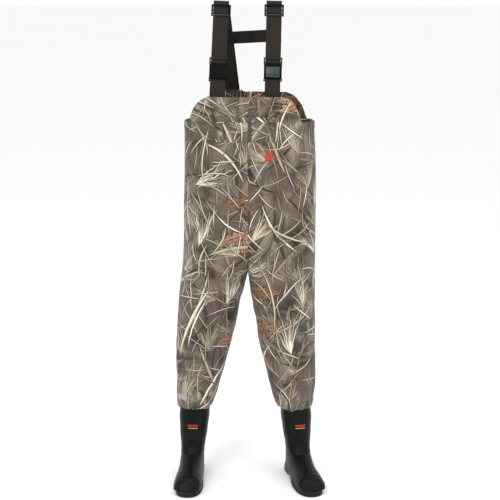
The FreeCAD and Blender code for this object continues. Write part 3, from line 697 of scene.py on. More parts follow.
def camo_material(print_tree, name="camo_fabric", gathers=0.0):
    """The marsh print on knitted neoprene facing, with painted shade in the folds; gathers are ruffles across
    it.
    """
    material, g, shader = new_material(name)
    uv = g.add("ShaderNodeUVMap").outputs[0]
    node = g.add("ShaderNodeGroup")
    node.node_tree = print_tree
    g.join(node.inputs["Vector"], uv)
    occlusion = g.add("ShaderNodeAmbientOcclusion", {"samples": 4, "only_local": False}, Distance=0.02)
    openness_for_painted_shade = occlusion.outputs["AO"]
    # painted shade: the print darkens towards #1d1916 where ambient occlusion finds the cloth closed in, in
    # folds and inside the hems
    g.join(shader["Base Color"], g.mix(g.math("MULTIPLY", g.step(0.85, 0.2, openness_for_painted_shade), 0.7), node.outputs[0],
                                      hex_colour("#1d1916")))
    x, y, _ = g.split(uv)
    rib = g.math("SINE", g.math("MULTIPLY", x, 2 * math.pi / 0.0012))
    course = g.math("SINE", g.math("MULTIPLY", y, 2 * math.pi / 0.0016))
    knit = g.math("MULTIPLY", rib, course)
    loose = g.noise(g.merge(x, y), 900.0, 2.0)
    height = g.math("ADD", g.math("MULTIPLY", knit, 0.5), loose)
    if gathers:
        ruffle = g.noise(g.merge(g.math("MULTIPLY", x, 130.0), g.math("MULTIPLY", y, 14.0)), 1.0, 2.0)
        height = g.math("ADD", height, g.math("MULTIPLY", ruffle, gathers))
    g.join(shader["Normal"], g.bump(height, 0.0003, 0.5))
    shader["Roughness"].default_value = 0.78
    shader["Specular IOR Level"].default_value = 0.3
    shader["Sheen Weight"].default_value = 0.12
    shader["Sheen Roughness"].default_value = 0.5
    return material


def woven_material(name, colours, rib, row):
    """Woven tape: ribs along it, rows of yarn across it, mottled colour and painted shade between the ribs.
    """
    material, g, shader = new_material(name)
    uv = g.add("ShaderNodeUVMap").outputs[0]
    x, y, _ = g.split(uv)
    ribs = g.math("SINE", g.math("MULTIPLY", x, 2 * math.pi / rib))
    weave = g.math("SINE", g.math("ADD", g.math("MULTIPLY", y, 2 * math.pi / row),
                                  g.math("MULTIPLY", g.math("SIGN", ribs), math.pi / 2)))
    mottle = g.noise(g.merge(g.math("MULTIPLY", x, 2.0), y), 260.0, 3.0, 0.6)
    colour = g.ramp(g.math("ADD", mottle, g.math("MULTIPLY", weave, 0.05)), colours)
    # painted shade: darker colour in the troughs between the ribs
    colour = g.mix(g.math("MULTIPLY", g.step(0.25, -0.9, ribs), 0.35), colour, hex_colour("#171310"))
    g.join(shader["Base Color"], colour)
    height = g.math("ADD", ribs, g.math("MULTIPLY", weave, 0.7))
    g.join(shader["Normal"], g.bump(height, 0.0004, 0.6))
    shader["Roughness"].default_value = 0.8
    shader["Specular IOR Level"].default_value = 0.12
    shader["Sheen Weight"].default_value = 0.04
    shader["Sheen Roughness"].default_value = 0.4
    return material


def moulded_material(name, low, high, rough, grain=1400.0, depth=0.00015, coat=0.0, gloss=0.25,
                     scuff="#2b312f"):
    """Moulded plastic or rubber: fine texture, uneven gloss, soft scuffs on its edges."""
    material, g, shader = new_material(name)
    place = g.add("ShaderNodeTexCoord").outputs["Object"]
    cloud = g.noise(place, 22.0, 4.0, 0.6)
    colour = g.ramp(cloud, [(0.3, low), (0.7, high)])
    worn = g.add("ShaderNodeNewGeometry").outputs["Pointiness"]
    edge = g.math("MULTIPLY", g.step(0.52, 0.58, worn), g.step(0.35, 0.7, g.noise(place, 130.0, 3.0)))
    g.join(shader["Base Color"], g.mix(g.math("MULTIPLY", edge, 0.5), colour, hex_colour(scuff)))
    smear = g.noise(g.vector("MULTIPLY", place, (1.0, 1.0, 0.4)), 35.0, 3.0)
    g.join(shader["Roughness"], g.math("ADD", rough - 0.08, g.math("MULTIPLY", smear, 0.16)))
    fine = g.math("ADD", g.noise(place, grain, 2.0), g.math("MULTIPLY", g.noise(place, grain / 12, 2.0), 1.2))
    g.join(shader["Normal"], g.bump(fine, depth, 0.6))
    shader["Specular IOR Level"].default_value = gloss
    shader["Coat Weight"].default_value = coat
    shader["Coat Roughness"].default_value = 0.25
    return material


def thread_material():
    """Satin stitch: fine parallel threads that turn with the star's points."""
    material, g, shader = new_material("emblem_thread")
    uv = g.add("ShaderNodeUVMap").outputs[0]
    x, y, _ = g.split(uv)
    x, y = g.math("SUBTRACT", x, EMBLEM_X), g.math("SUBTRACT", y, EMBLEM_Z)
    angle = g.math("ARCTAN2", x, y)
    strands = g.math("SINE", g.math("MULTIPLY", g.vector("LENGTH", g.merge(x, y)), 2 * math.pi / 0.0008))
    wedge = g.math("SINE", g.math("MULTIPLY", angle, 8.0))
    colour = g.mix(g.step(-0.6, 0.8, wedge), hex_colour("#9c2411"), hex_colour("#cf4a27"))
    # painted shade: darker red in the grooves between the threads
    colour = g.mix(g.math("MULTIPLY", g.step(0.2, -0.9, strands), 0.45), colour, hex_colour("#6d160a"))
    g.join(shader["Base Color"], colour)
    g.join(shader["Normal"], g.bump(g.math("ADD", strands, g.noise(uv, 1500.0, 2.0)), 0.0003, 0.8))
    shader["Roughness"].default_value = 0.5
    shader["Sheen Weight"].default_value = 0.3
    return material


def felt_material():
    """Needle felt: matted fibres."""
    material, g, shader = new_material("insole_felt")
    place = g.add("ShaderNodeTexCoord").outputs["Object"]
    fibres = g.noise(place, 700.0, 6.0, 0.7, 1.5)
    g.join(shader["Base Color"], g.ramp(fibres, [(0.3, "#4a4a4e"), (0.7, "#7d7d80")]))
    g.join(shader["Normal"], g.bump(fibres, 0.0008, 0.8))
    shader["Roughness"].default_value = 0.95
    return material


def steel_material():
    """Brushed spring steel."""
    material, g, shader = new_material("shank_steel")
    place = g.add("ShaderNodeTexCoord").outputs["Object"]
    brushed = g.noise(g.vector("MULTIPLY", place, (40.0, 1.0, 1.0)), 60.0, 3.0)
    g.join(shader["Base Color"], g.ramp(brushed, [(0.3, "#8d9094"), (0.7, "#b4b7ba")]))
    g.join(shader["Normal"], g.bump(brushed, 0.0001, 0.4))
    shader["Metallic"].default_value = 1.0
    shader["Roughness"].default_value = 0.35
    return material


def make_looks():
    """Every material by name."""
    webbing = [(0.25, "#1f1b17"), (0.5, "#2a2521"), (0.75, "#352f2a")]
    black = [(0.3, "#161514"), (0.7, "#262423")]
    print_tree = camo_group()
    return {
        "camo": camo_material(print_tree),
        "hem_elastic": camo_material(print_tree, "hem_elastic", 9.0),
        "webbing": woven_material("strap_webbing", webbing, 0.0021, 0.0017),
        "strap_elastic": woven_material("strap_elastic", black, 0.0013, 0.0009),
        "tape": moulded_material("seam_tape", "#1b1b1b", "#2a2a2a", 0.6),
        # the pocket divider's darker brown: partly its stitched seam, partly painted shade along it
        "divider_shade_tape": woven_material("pocket_divider_shade", [(0.3, "#463c35"), (0.7, "#6e6257")], 0.0012, 0.0012),
        "plastic": moulded_material("buckle_plastic", "#060908", "#0b0f0d", 0.60, 2200.0, 0.00008, 0.0, 0.05,
                                    "#151a18"),
        # painted sheen: a lighter, greener copy of the black buckle plastic, standing for the sheen on some
        # of its faces
        "painted_sheen_plastic": moulded_material("buckle_plastic_painted_sheen", "#26302b", "#33403a", 0.28, 2200.0, 0.00006, 0.1, 0.3),
        "rubber": moulded_material("boot_rubber", "#090c0a", "#101512", 0.36, 900.0, 0.00012, 0.0, 0.10),
        "sole": moulded_material("sole_rubber", "#0c0e0d", "#131614", 0.6, 700.0, 0.0003),
        "felt": felt_material(),
        "steel": steel_material(),
        "red": moulded_material("badge_red", "#8f1c14", "#b3261a", 0.45, 1200.0, 0.0001, scuff="#c75040"),
        "yellow": moulded_material("badge_yellow", "#b08a1e", "#cfa52c", 0.45, 1200.0, 0.0001,
                                   scuff="#d9bd62"),
        "thread": thread_material(),
    }


# ---- the fabric body ----
def make_fabric(material):
    """The body as four shells: each half of the body down to the thigh, and each leg from there down."""
    for side, sign in SIDES.items():
        upper_points, upper_uv, _ = on_body(side, body_levels(side, SPLIT, None))
        lower_points, lower_uv, _ = on_body(side, body_levels(side, CUFF_BOTTOM, SPLIT))
        whole = grid_normals(np.concatenate([lower_points, upper_points[1:]]))
        count = len(lower_points)
        upper = shell(f"{side}_upper_fabric", upper_points, upper_uv, FABRIC, whole[count - 1:])
        lower = shell(f"{side}_lower_fabric", lower_points, lower_uv, FABRIC, whole[:count])
        for piece in (upper, lower):
            piece.data.materials.append(material)
        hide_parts(f"{side}_torso_panel", f"{side}_hip_fabric", f"{side}_thigh_panel")
        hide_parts(f"{side}_knee_fabric", f"{side}_shin_panel", f"{side}_cuff_hem")
        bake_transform(upper)
        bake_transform(lower)


def body_band(name, sides_columns, levels, offset, thick, material, nodes):
    """A band of cloth that follows the body, joined from its pieces on each side."""
    pieces = []
    for side, columns in sides_columns:
        z = levels(side)[:, columns]
        points, uv, normals = on_body(side, z, columns, offset)
        pieces.append(shell(f"{name}_{side}", points, uv, thick, normals))
    return finish_piece(joined(name, pieces), material, nodes)


def joined(name, pieces):
    """Several objects as one."""
    bpy.ops.object.select_all(action="DESELECT")
    for piece in pieces:
        piece.select_set(True)
    bpy.context.view_layer.objects.active = pieces[0]
    if len(pieces) > 1:
        bpy.ops.object.join()
    pieces[0].name = name
    return pieces[0]


def finish_piece(piece, material, nodes=(), body="body"):
    """Gives a piece its material, the CAD nodes that it stands for and the body that it rides."""
    piece.data.materials.clear()
    piece.data.materials.append(material)
    if nodes:
        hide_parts(*nodes)
    if body:
        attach(piece, body)
    return piece


def make_hems(looks):
    """The front hem's binding, the elastic inside the back hem, and the tapes inside both centre seams."""
    depth = 0.022

    def below_hem(side):
        return hem_line(side)[None, :] - np.linspace(depth, 0.0002, 7)[:, None]

    middle = len(SHARES) // 2
    front, back = slice(0, middle + 1), slice(middle, len(SHARES))
    halves = [(side, front) for side in SIDES]
    body_band("front_hem_cloth", halves, below_hem, 0.0014, 0.0013, looks["camo"],
              ["front_hem_binding"])
    halves = [(side, back) for side in SIDES]
    body_band("back_hem_cloth", halves, below_hem, -FABRIC - 0.0003, 0.0015, looks["hem_elastic"],
              ["back_hem_elastic"])
    tape = len(SEAM_STEPS) + 1

    def tape_levels(side):
        z = np.linspace(TORSO_BOTTOM, BIB_TOP - depth - 0.004, 90)
        return np.repeat(z[:, None], len(SHARES), axis=1)

    for name, columns in (("front", slice(0, tape)), ("back", slice(len(SHARES) - tape, len(SHARES)))):
        halves = [(side, columns) for side in SIDES]
        body_band(f"{name}_seam_strip", halves, tape_levels, -FABRIC - 0.0002, 0.0008, looks["tape"],
                  [f"{name}_seam_tape"])


# ---- pieces on the chest ----
def chest_points(x, z, offset):
    """Points, print coordinates (those of the left half) and normals over the chest, for grids of x and z."""
    side_edge = {side: np.array([interpolate(TORSO_EDGE[side], level) for level in z[:, 0]])
                 for side in SIDES}
    depth = np.array([interpolate(DEPTH, level) for level in z[:, 0]])[:, None]
    edge = np.where(x >= 0, side_edge["left"][:, None], side_edge["right"][:, None])
    square = TORSO_SQUARENESS
    y = -depth * (1 - (np.abs(x) / edge) ** square) ** (1 / square)
    points = np.stack([x, y, z], axis=-1)
    normals = grid_normals(points)
    stand = drape(points, z, np.full_like(x, 1.0)) + offset
    points = points + normals * stand[..., None]
    length = np.array([np.interp(level, LEVELS, ARC_LENGTHS["left"]) for level in z[:, 0]])[:, None]
    run = x * (1 + 0.5 * (x / 0.22) ** 2)
    uv = np.stack([run - length / 2, z], axis=-1)
    return points, uv, grid_normals(points)


POCKET_X = (-0.104, 0.101)
POCKET_Z = (1.192, 1.272)
POCKET_DIVIDER_X = 0.006


def pocket_stand(x, z):
    """How far the pocket's cloth stands off the chest: sewn down at its sides, foot and divider."""
    low, high = POCKET_Z
    inset = np.minimum(x - POCKET_X[0], POCKET_X[1] - x)
    edges = smooth(0.0, 0.020, inset) * smooth(0.0, 0.018, z - low)
    divider = 1 - 0.80 * bump(x, POCKET_DIVIDER_X, 0.009) * smooth(high + 0.03, high - 0.02, z)
    sag = 1 + 0.18 * np.sin((x + 0.1) * 41) * smooth(low, high, z)
    return 0.0025 + 0.0075 * edges * divider * sag


def make_pocket(looks):
    """Two-compartment chest pocket with a turned hem and a stitched divider."""
    (x0, x1), (z0, z1) = POCKET_X, POCKET_Z
    x, z = np.meshgrid(np.linspace(x0, x1, 90), np.linspace(z0, z1, 34))
    points, uv, normals = chest_points(x, z, pocket_stand(x, z))
    uv = np.where((x < POCKET_DIVIDER_X)[..., None], uv + (0.83, 0.31), uv)
    finish_piece(shell("chest_pocket_cloth", points, uv, 0.0020, normals), looks["camo"],
                 ["chest_pocket"])
    hem = 0.015
    x, z = np.meshgrid(np.linspace(x0, x1, 90), np.linspace(z1 - hem, z1 + 0.0003, 8))
    points, uv, normals = chest_points(x, z, pocket_stand(x, z) + 0.0012)
    uv = uv + (0.27, 0.18)
    finish_piece(shell("pocket_hem_cloth", points, uv, 0.0012, normals), looks["camo"],
                 ["pocket_hem"])
    x, z = np.meshgrid(POCKET_DIVIDER_X + np.linspace(-0.005, 0.005, 7),
                       np.linspace(z0 + 0.001, z1 - 0.0005, 34))
    ridge = 0.0010 * bump(np.abs(x - POCKET_DIVIDER_X), 0.003, 0.0015)
    points, uv, normals = chest_points(x, z, pocket_stand(x, z) + 0.0014 + ridge)
    # the divider strip's darker brown is partly the stitched seam and partly painted shade along it
    finish_piece(shell("pocket_divider_strip", points, uv + (0.4, 0.2), 0.0012, normals), looks["divider_shade_tape"],
                 ["pocket_divider"])


def make_emblem(looks):
    """An eight-pointed star of satin stitch on the wearer's left."""
    wide, tall = 0.038, 0.046
    rings, turns = 7, 96
    angle = np.linspace(0, 2 * math.pi, turns + 1)[None, :-1]
    wedge = np.abs(((angle / (math.pi / 8)) % 2) - 1)
    reach = 0.30 + 0.20 * wedge**1.2
    share = np.linspace(0.02, 1, rings)[:, None]
    x = EMBLEM_X + wide * reach * share * np.sin(angle)
    z = EMBLEM_Z + tall * reach * share * np.cos(angle)
    dome = 0.0012 + 0.0008 * np.cos(share * math.pi / 2) ** 0.5 + 0.0003 * np.cos(angle * 8)
    edge_points = []
    for offset in (dome, np.full_like(x, 0.0002)):
        flat_x, flat_z = x.reshape(-1), z.reshape(-1)
        edge = np.where(flat_x >= 0, .226, .211)
        depth = np.array([interpolate(DEPTH, level) for level in flat_z])
        y = -depth * (1 - (np.abs(flat_x) / edge) ** TORSO_SQUARENESS) ** (1 / TORSO_SQUARENESS)
        base = np.stack([flat_x, y, flat_z], axis=-1)
        stand = drape(base, flat_z, np.full_like(flat_x, 1.0)) + offset.reshape(-1)
        edge_points.append(base + np.array([0.18, -0.98, 0.0]) * stand[:, None])
    faces = [tuple(reversed(face)) for face in grid_faces(rings, turns, close=True)]
    last = (rings - 1) * turns
    total = rings * turns
    for j in range(turns):
        k = (j + 1) % turns
        faces.append((last + j, last + k, total + last + k, total + last + j))
    faces.append(tuple(range(turns)))
    points = np.concatenate(edge_points)
    uv = np.stack([points[:, 0], points[:, 2]], axis=-1)
    piece = make_object("chest_emblem_stitching", placed(points), faces, uv)
    finish_piece(piece, looks["thread"], ["chest_emblem"])


# ---- straps ----
FOLD_Z, FOLD_RADIUS = 1.628, 0.011
STRAP_X = {"left": (.079, .086, .082), "right": (-.100, -.086, -.051)}
STRAP_Y, STRAP_FOOT, STRAP_TAIL = 0.094, 1.330, 0.052
BACK = 0.0033
SOCKET_BAR, PLUG_BAR, GLIDE_BAR = 0.059, 0.118, 0.290
SOCKET_LOOP = SOCKET_BAR + 0.0012  # the webbing bunches up over its bar, to just under the socket's body
WEBBING = (0.050, 0.002)
RISE = FOLD_Z - STRAP_FOOT
LEAN = math.atan2(STRAP_Y, RISE) - math.asin(FOLD_RADIUS / math.hypot(STRAP_Y, RISE))
RUN = math.sqrt(STRAP_Y**2 + RISE**2 - FOLD_RADIUS**2)


def strap_frame(side):
    """Origin, and across, rearward and upward directions, of a front strap."""
    foot_x, fold_x, _ = STRAP_X[side]
    up = Vector(((fold_x - foot_x) / RUN, math.sin(LEAN), math.cos(LEAN))).normalized()
    rear = Vector((0, math.cos(LEAN), -math.sin(LEAN)))
    across = rear.cross(up).normalized()
    return Vector((foot_x, -STRAP_Y, STRAP_FOOT)), across, up.cross(across), up


def strap_point(side, rear, up, across=0.0):
    """A point given by its distances across, behind and along a front strap."""
    origin, sideways, rearward, upward = strap_frame(side)
    return origin + sideways * across + rearward * rear + upward * up


def loop_points(side, bar, upwards):
    """Points half way round a bar that a strap loops over or under."""
    steps = 16
    turn = 1 if upwards else -1
    return [strap_point(side, BACK * (1 - math.cos(math.pi * k / steps)),
                        bar + turn * BACK * math.sin(math.pi * k / steps)) for k in range(steps + 1)]


def resampled(points, spacing):
    """Long straight runs divided, so that the webbing can ripple a little."""
    out = [points[0]]
    for a, b in zip(points, points[1:]):
        parts = max(1, round((b - a).length / spacing))
        out += [a.lerp(b, k / parts) for k in range(1, parts + 1)]
    return out


def ribbon(name, points, sideways, width, thick, ripple=0.0):
    """Woven webbing along a path: flat, with rounded selvages that are a little thicker."""
    outer = [(-.5, .30), (-.47, .56), (-.40, .5), (-.2, .5), (0, .5), (.2, .5), (.40, .5), (.47, .56),
             (.5, .30)]
    profile = outer + [(a, -b) for a, b in reversed(outer)]
    vertices, uvs, run = [], [], 0.0
    waves = Ripples(8, 0.05, 0.11)
    for i, point in enumerate(points):
        ahead, behind = points[min(i + 1, len(points) - 1)], points[max(i - 1, 0)]
        along = (ahead - behind).normalized()
        across = (sideways - along * along.dot(sideways)).normalized()
        normal = along.cross(across)
        if i:
            run += (point - points[i - 1]).length
        for a, b in profile:
            place = point + across * (width * a) + normal * (thick * b)
            lift = ripple * float(waves(np.array(place))) * (0.4 + 1.2 * abs(a))
            vertices.append(place + normal * lift)
            uvs.append((width * a, run))
    count = len(profile)
    faces = [tuple(reversed(face)) for face in grid_faces(len(points), count, close=True)]
    faces.append(tuple(range(count)))
    faces.append(tuple(reversed(range((len(points) - 1) * count, len(points) * count))))
    return make_object(name, placed([tuple(v) for v in vertices]), faces, uvs)


def make_straps(looks):
    """Webbing over each shoulder, the short front straps, and the strap that joins the two behind."""
    for side in SIDES:
        foot_x, fold_x, back_x = STRAP_X[side]
        sideways = strap_frame(side)[1]
        tail = Vector((0, 0, -STRAP_TAIL))
        foot = Vector((foot_x, -STRAP_Y, STRAP_FOOT))
        lower = [foot + tail, foot] + loop_points(side, SOCKET_LOOP, True)
        lower += [strap_point(side, 2 * BACK, 0.002), strap_point(side, 2 * BACK, 0) + tail * 0.6]
        piece = ribbon(f"{side}_lower_webbing", resampled(lower, 0.008), sideways, *WEBBING)
        finish_piece(piece, looks["webbing"], [f"{side}_lower_strap"])
        back_foot = Vector((back_x, STRAP_Y, STRAP_FOOT))
        path = [back_foot + tail, back_foot]
        for k in range(17):
            angle = LEAN + (math.pi - 2 * LEAN) * k / 16
            path.append(Vector((fold_x, FOLD_RADIUS * math.cos(angle),
                                FOLD_Z + FOLD_RADIUS * math.sin(angle))))
        path += loop_points(side, PLUG_BAR, False)
        path.append(strap_point(side, 2 * BACK, GLIDE_BAR + 0.009))
        piece = ribbon(f"{side}_shoulder_webbing", resampled(path, 0.006), sideways, *WEBBING)
        nodes = [f"{side}_{name}"
                 for name in ("shoulder_strap", "plug_loop", "front_webbing", "rear_webbing")]
        finish_piece(piece, looks["webbing"], nodes, body=None)
        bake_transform(piece)
    make_cross_strap(looks)


def make_ruffle(looks):
    """The back hem's cloth, gathered over the foot of the wearer's right back strap."""
    low, high, right, left = 1.308, 1.343, -0.086, -0.018
    fold_width, wave_width, fold_depth, clear = 0.0095, 0.011, 0.0034, 0.0035
    x, z = np.meshgrid(np.linspace(right, left, 150), np.linspace(low, high, 22))
    up = (z - low) / (high - low)
    folds = np.sin(x * 2 * math.pi / fold_width + 2 * np.sin(x * 90) + 1.5 * up)
    lean = np.maximum(z - STRAP_FOOT, 0) * math.tan(LEAN)
    ends = smooth(0.010, 0.0, np.minimum(x - right, left - x))
    y = STRAP_Y - clear - lean - fold_depth * smooth(0, 0.3, up) * (1 + folds) + 0.018 * ends
    z = z + 0.0024 * up * np.sin(x * 2 * math.pi / wave_width + 1) - 0.004 * ends * up
    uv = np.stack([x * 2.2 + 0.42, z * 1.7 + 0.31], axis=-1)
    piece = shell("back_hem_ruffle", np.stack([x, y, z], axis=-1), uv, 0.0015)
    finish_piece(piece, looks["camo"])


def make_cross_strap(looks):
    """Elastic and webbing between the back straps."""
    half, z_right, z_left, split = 0.021, 1.517, 1.528, 0.016
    run_up = (FOLD_Z - 1.522) / math.cos(LEAN)
    y = FOLD_RADIUS * math.cos(LEAN) + run_up * math.sin(LEAN) - 0.0024
    right_x, left_x = -0.100, 0.110
    slope = (z_left - z_right) / (left_x - right_x)
    sideways = Vector((0, -math.sin(LEAN), math.cos(LEAN)))
    rearward = Vector((0, math.cos(LEAN), math.sin(LEAN)))

    def place(x):
        return Vector((x, y, z_right + slope * (x - right_x))) - rearward * 0.001

    for name, x0, x1, look, slot in (
            ("cross_elastic", right_x, split, "strap_elastic", "strap_elastic"),
            ("cross_webbing", split, left_x, "webbing", "strap_webbing")):
        path = resampled([place(x0), place(x1)], 0.006)
        piece = ribbon(f"{name}_band", path, sideways, 2 * half, 0.002)
        finish_piece(piece, looks[look], [name])


# ---- buckles and sliders ----
def make_hardware(looks):
    """The moulded CAD pieces, with rounded edges and their plastic."""
    for side in SIDES:
        for name in ("buckle_socket", "buckle_plug", "outer_prong", "inner_prong", "strap_glide"):
            node = NODES[f"{side}_{name}"]
            bevel = node.modifiers.new("rounded", "BEVEL")
            bevel.width, bevel.segments, bevel.limit_method = 0.0007, 2, "ANGLE"
            bevel.angle_limit = math.radians(35)
            bevel.harden_normals = True
            node.data.materials.clear()
            node.data.materials.append(looks["plastic"])
        # painted sheen: the wearer's left socket panel and both sides' plug and glide bar faces take the
        # lighter copy of the buckle plastic
        painted_sheen_plastic = "painted_sheen_plastic" if side == "left" else "plastic"
        for name, body, look, x, rear, up in (
                ("socket_panel", "body", painted_sheen_plastic, 0.0215, (-0.0066, -0.0050), (0.069, 0.1035)),
                ("socket_lip", "body", "plastic", 0.0295, (-0.0064, -0.0030), (0.0652, 0.0680)),
                ("socket_rib_1", "body", "plastic", 0.0190, (-0.0072, -0.0060), (0.0745, 0.0757)),
                ("socket_rib_2", "body", "plastic", 0.0190, (-0.0072, -0.0060), (0.0785, 0.0797)),
                ("plug_face", f"{side}_plug", "plastic", 0.0270, (-0.0064, -0.0050), (0.1072, 0.1118)),
                ("plug_bar_face", f"{side}_plug", "painted_sheen_plastic", 0.0285, (-0.0056, -0.0044), (0.1302, 0.1322)),
                ("glide_bar_face", f"{side}_glide", "painted_sheen_plastic", 0.0290, (-0.0056, -0.0044), (0.2722, 0.2752))):
            piece = strap_block(f"{side}_{name}", side, (-x, x), rear, up, 0.0005)
            finish_piece(piece, looks[look], body=body)


def strap_block(name, side, x, rear, up, radius):
    """A small moulded block with rounded edges, in a front strap's own directions."""
    bm = bmesh.new()
    corners = [bm.verts.new(placed(strap_point(side, r, u, a))) for u in up for r in rear for a in x]
    for face in ((0, 2, 3, 1), (4, 5, 7, 6), (0, 1, 5, 4), (2, 6, 7, 3), (0, 4, 6, 2), (1, 3, 7, 5)):
        bm.faces.new([corners[k] for k in face])
    bmesh.ops.recalc_face_normals(bm, faces=bm.faces)
    bmesh.ops.bevel(bm, geom=list(bm.edges) + list(bm.verts), offset=radius, segments=3, profile=0.5,
                    affect="EDGES")
    mesh = bpy.data.meshes.new(name)
    bm.to_mesh(mesh)
    bm.free()
    mesh.polygons.foreach_set("use_smooth", [True] * len(mesh.polygons))
    piece = bpy.data.objects.new(name, mesh)
    bpy.context.scene.collection.objects.link(piece)
    return piece


# ---- boots ----
ANKLE = {"left": (.174, 13.0), "right": (.193, 3.0)}
SHAFT_LEAN = 0.055
BOOT_WALL = 0.004
SOLE_THICK = 0.020
BOOT = [
    ((53, 300), (-53, 300), 51), ((53, 262), (-53, 262), 51.5), ((53, 215), (-54, 220), 51.5),
    ((49, 165), (-52, 172), 47.5), ((47, 125), (-51, 133), 43), ((56, 88), (-58, 111), 40.5),
    ((73, 48), (-82, 96), 40.5), ((83, 6), (-106, 85), 42), ((50, -14), (-128, 76), 43.5),
    ((-25, -14), (-150, 69), 45.5), ((-95, -13), (-170, 61), 46.5), ((-145, -10), (-188, 50), 44),
    ((-180, -3), (-200, 36), 36.5), ((-199, 8), (-207, 24), 21),
]


def boot_rows(count):
    """Back, front and half width of sections evenly spaced along the boot, in metres."""
    table = np.array([(*back, *front, half) for back, front, half in BOOT]) / 1000
    middle = (table[:, 0:2] + table[:, 2:4]) / 2
    along = np.concatenate([[0], np.cumsum(np.linalg.norm(np.diff(middle, axis=0), axis=1))])
    where = np.linspace(0, along[-1], count)
    columns = []
    for column in table.T:
        slopes = np.gradient(column, along)
        k = np.clip(np.searchsorted(along, where, side="right") - 1, 0, len(along) - 2)
        span = along[k + 1] - along[k]
        t = (where - along[k]) / span
        columns.append((2 * t**3 - 3 * t**2 + 1) * column[k] + (t**3 - 2 * t**2 + t) * span * slopes[k]
                       + (3 * t**2 - 2 * t**3) * column[k + 1] + (t**3 - t**2) * span * slopes[k + 1])
    return np.stack(columns, axis=1)


def boot_detail(y, z, across, front):
    """How far the rubber stands out: shaft rings, ankle creases, toe ridges, toe cap and sole band."""
    shaft = smooth(0.12, 0.16, z)
    out = np.zeros_like(z)
    for height, depth, width in ((0.134, 0.0007, 0.006), (0.098, 0.0022, 0.006)):
        crease = z - height + 0.010 * across**2 - 0.004 * front
        out = out - depth * bump(crease, 0.0, width * 0.45) * smooth(-0.2, 0.7, front)
        out = out + 0.6 * depth * bump(crease, width * 1.3, width) * smooth(-0.2, 0.7, front)
    out = out + 0.0012 * shaft * np.sin(z * 90) * 0.4
    for place in (-0.178, -0.192):
        ridge = y - place + 0.010 * across**2
        out = out + 0.0014 * bump(ridge, 0.0, 0.0032) * smooth(0.02, 0.035, z)
    out = out + 0.0014 * smooth(-0.156, -0.162, y)
    out = out + 0.0016 * smooth(0.036, 0.032, z)
    return out


def make_boots(looks):
    """Each boot's moulded upper, hollow inside, and its two-colour badge."""
    rows, columns = 150, 96
    table = boot_rows(rows)
    angle = np.linspace(0, 2 * math.pi, columns, endpoint=False)
    power = 2 / 2.3
    along, across = signed_power(np.cos(angle), power), signed_power(np.sin(angle), power)
    for side, sign in SIDES.items():
        back, front, half = table[:, 0:2], table[:, 2:4], table[:, 4]
        centre, reach = (back + front) / 2, (front - back) / 2
        y = centre[:, 0:1] + reach[:, 0:1] * along
        z = centre[:, 1:2] + reach[:, 1:2] * along
        x = half[:, None] * across[None, :] * np.ones_like(y)
        points = np.stack([x, y, z], axis=-1)
        normals = grid_normals(points)
        normals = -normals if normals[10, columns // 2, 1] < 0 else normals
        facing = np.broadcast_to(along[None, :], y.shape)
        sideways = np.broadcast_to(across[None, :], y.shape)
        points = points + normals * boot_detail(y, z, sideways, facing)[..., None]
        room = points - normals * BOOT_WALL
        for layer in (points, room):
            layer[..., 0] -= sign * SHAFT_LEAN * (layer[..., 2] - 0.1)
            layer[..., 2] = np.maximum(layer[..., 2], SOLE_THICK + 0.0002)
        count = rows * columns
        faces = grid_faces(rows, columns, close=True)
        faces += [tuple(count + v for v in reversed(face)) for face in grid_faces(rows, columns, close=True)]
        for j in range(columns):
            k = (j + 1) % columns
            faces.append((j, count + j, count + k, k))
        faces.append(tuple(range((rows - 1) * columns, rows * columns)))
        faces.append(tuple(reversed(range(count + (rows - 1) * columns, 2 * count))))
        turned = np.concatenate([points.reshape(-1, 3), room.reshape(-1, 3)])
        x, toe_out = ANKLE[side]
        turn = math.radians(sign * toe_out)
        spin = np.array([[math.cos(turn), -math.sin(turn), 0], [math.sin(turn), math.cos(turn), 0],
                         [0, 0, 1]])
        turned = turned @ spin.T + (sign * x, 0, 0)
        upper = make_object(f"{side}_boot", placed(turned), faces)
        bm = bmesh.new()
        bm.from_mesh(upper.data)
        bmesh.ops.recalc_face_normals(bm, faces=bm.faces)
        bm.to_mesh(upper.data)
        bm.free()
        finish_piece(upper, looks["rubber"], [f"{side}_boot_upper", f"{side}_toe_cap"],
                     f"{side}_shin")
        make_badge(side, upper, looks)
        for name, look in (("outsole", "sole"), ("insole", "felt"), ("shank", "steel"),
                           ("collar_tape", "tape")):
            node = NODES[f"{side}_{name}"]
            node.data.materials.clear()
            node.data.materials.append(looks[look])
        bevel = NODES[f"{side}_outsole"].modifiers.new("rounded", "BEVEL")
        bevel.width, bevel.segments, bevel.limit_method = 0.0012, 2, "ANGLE"


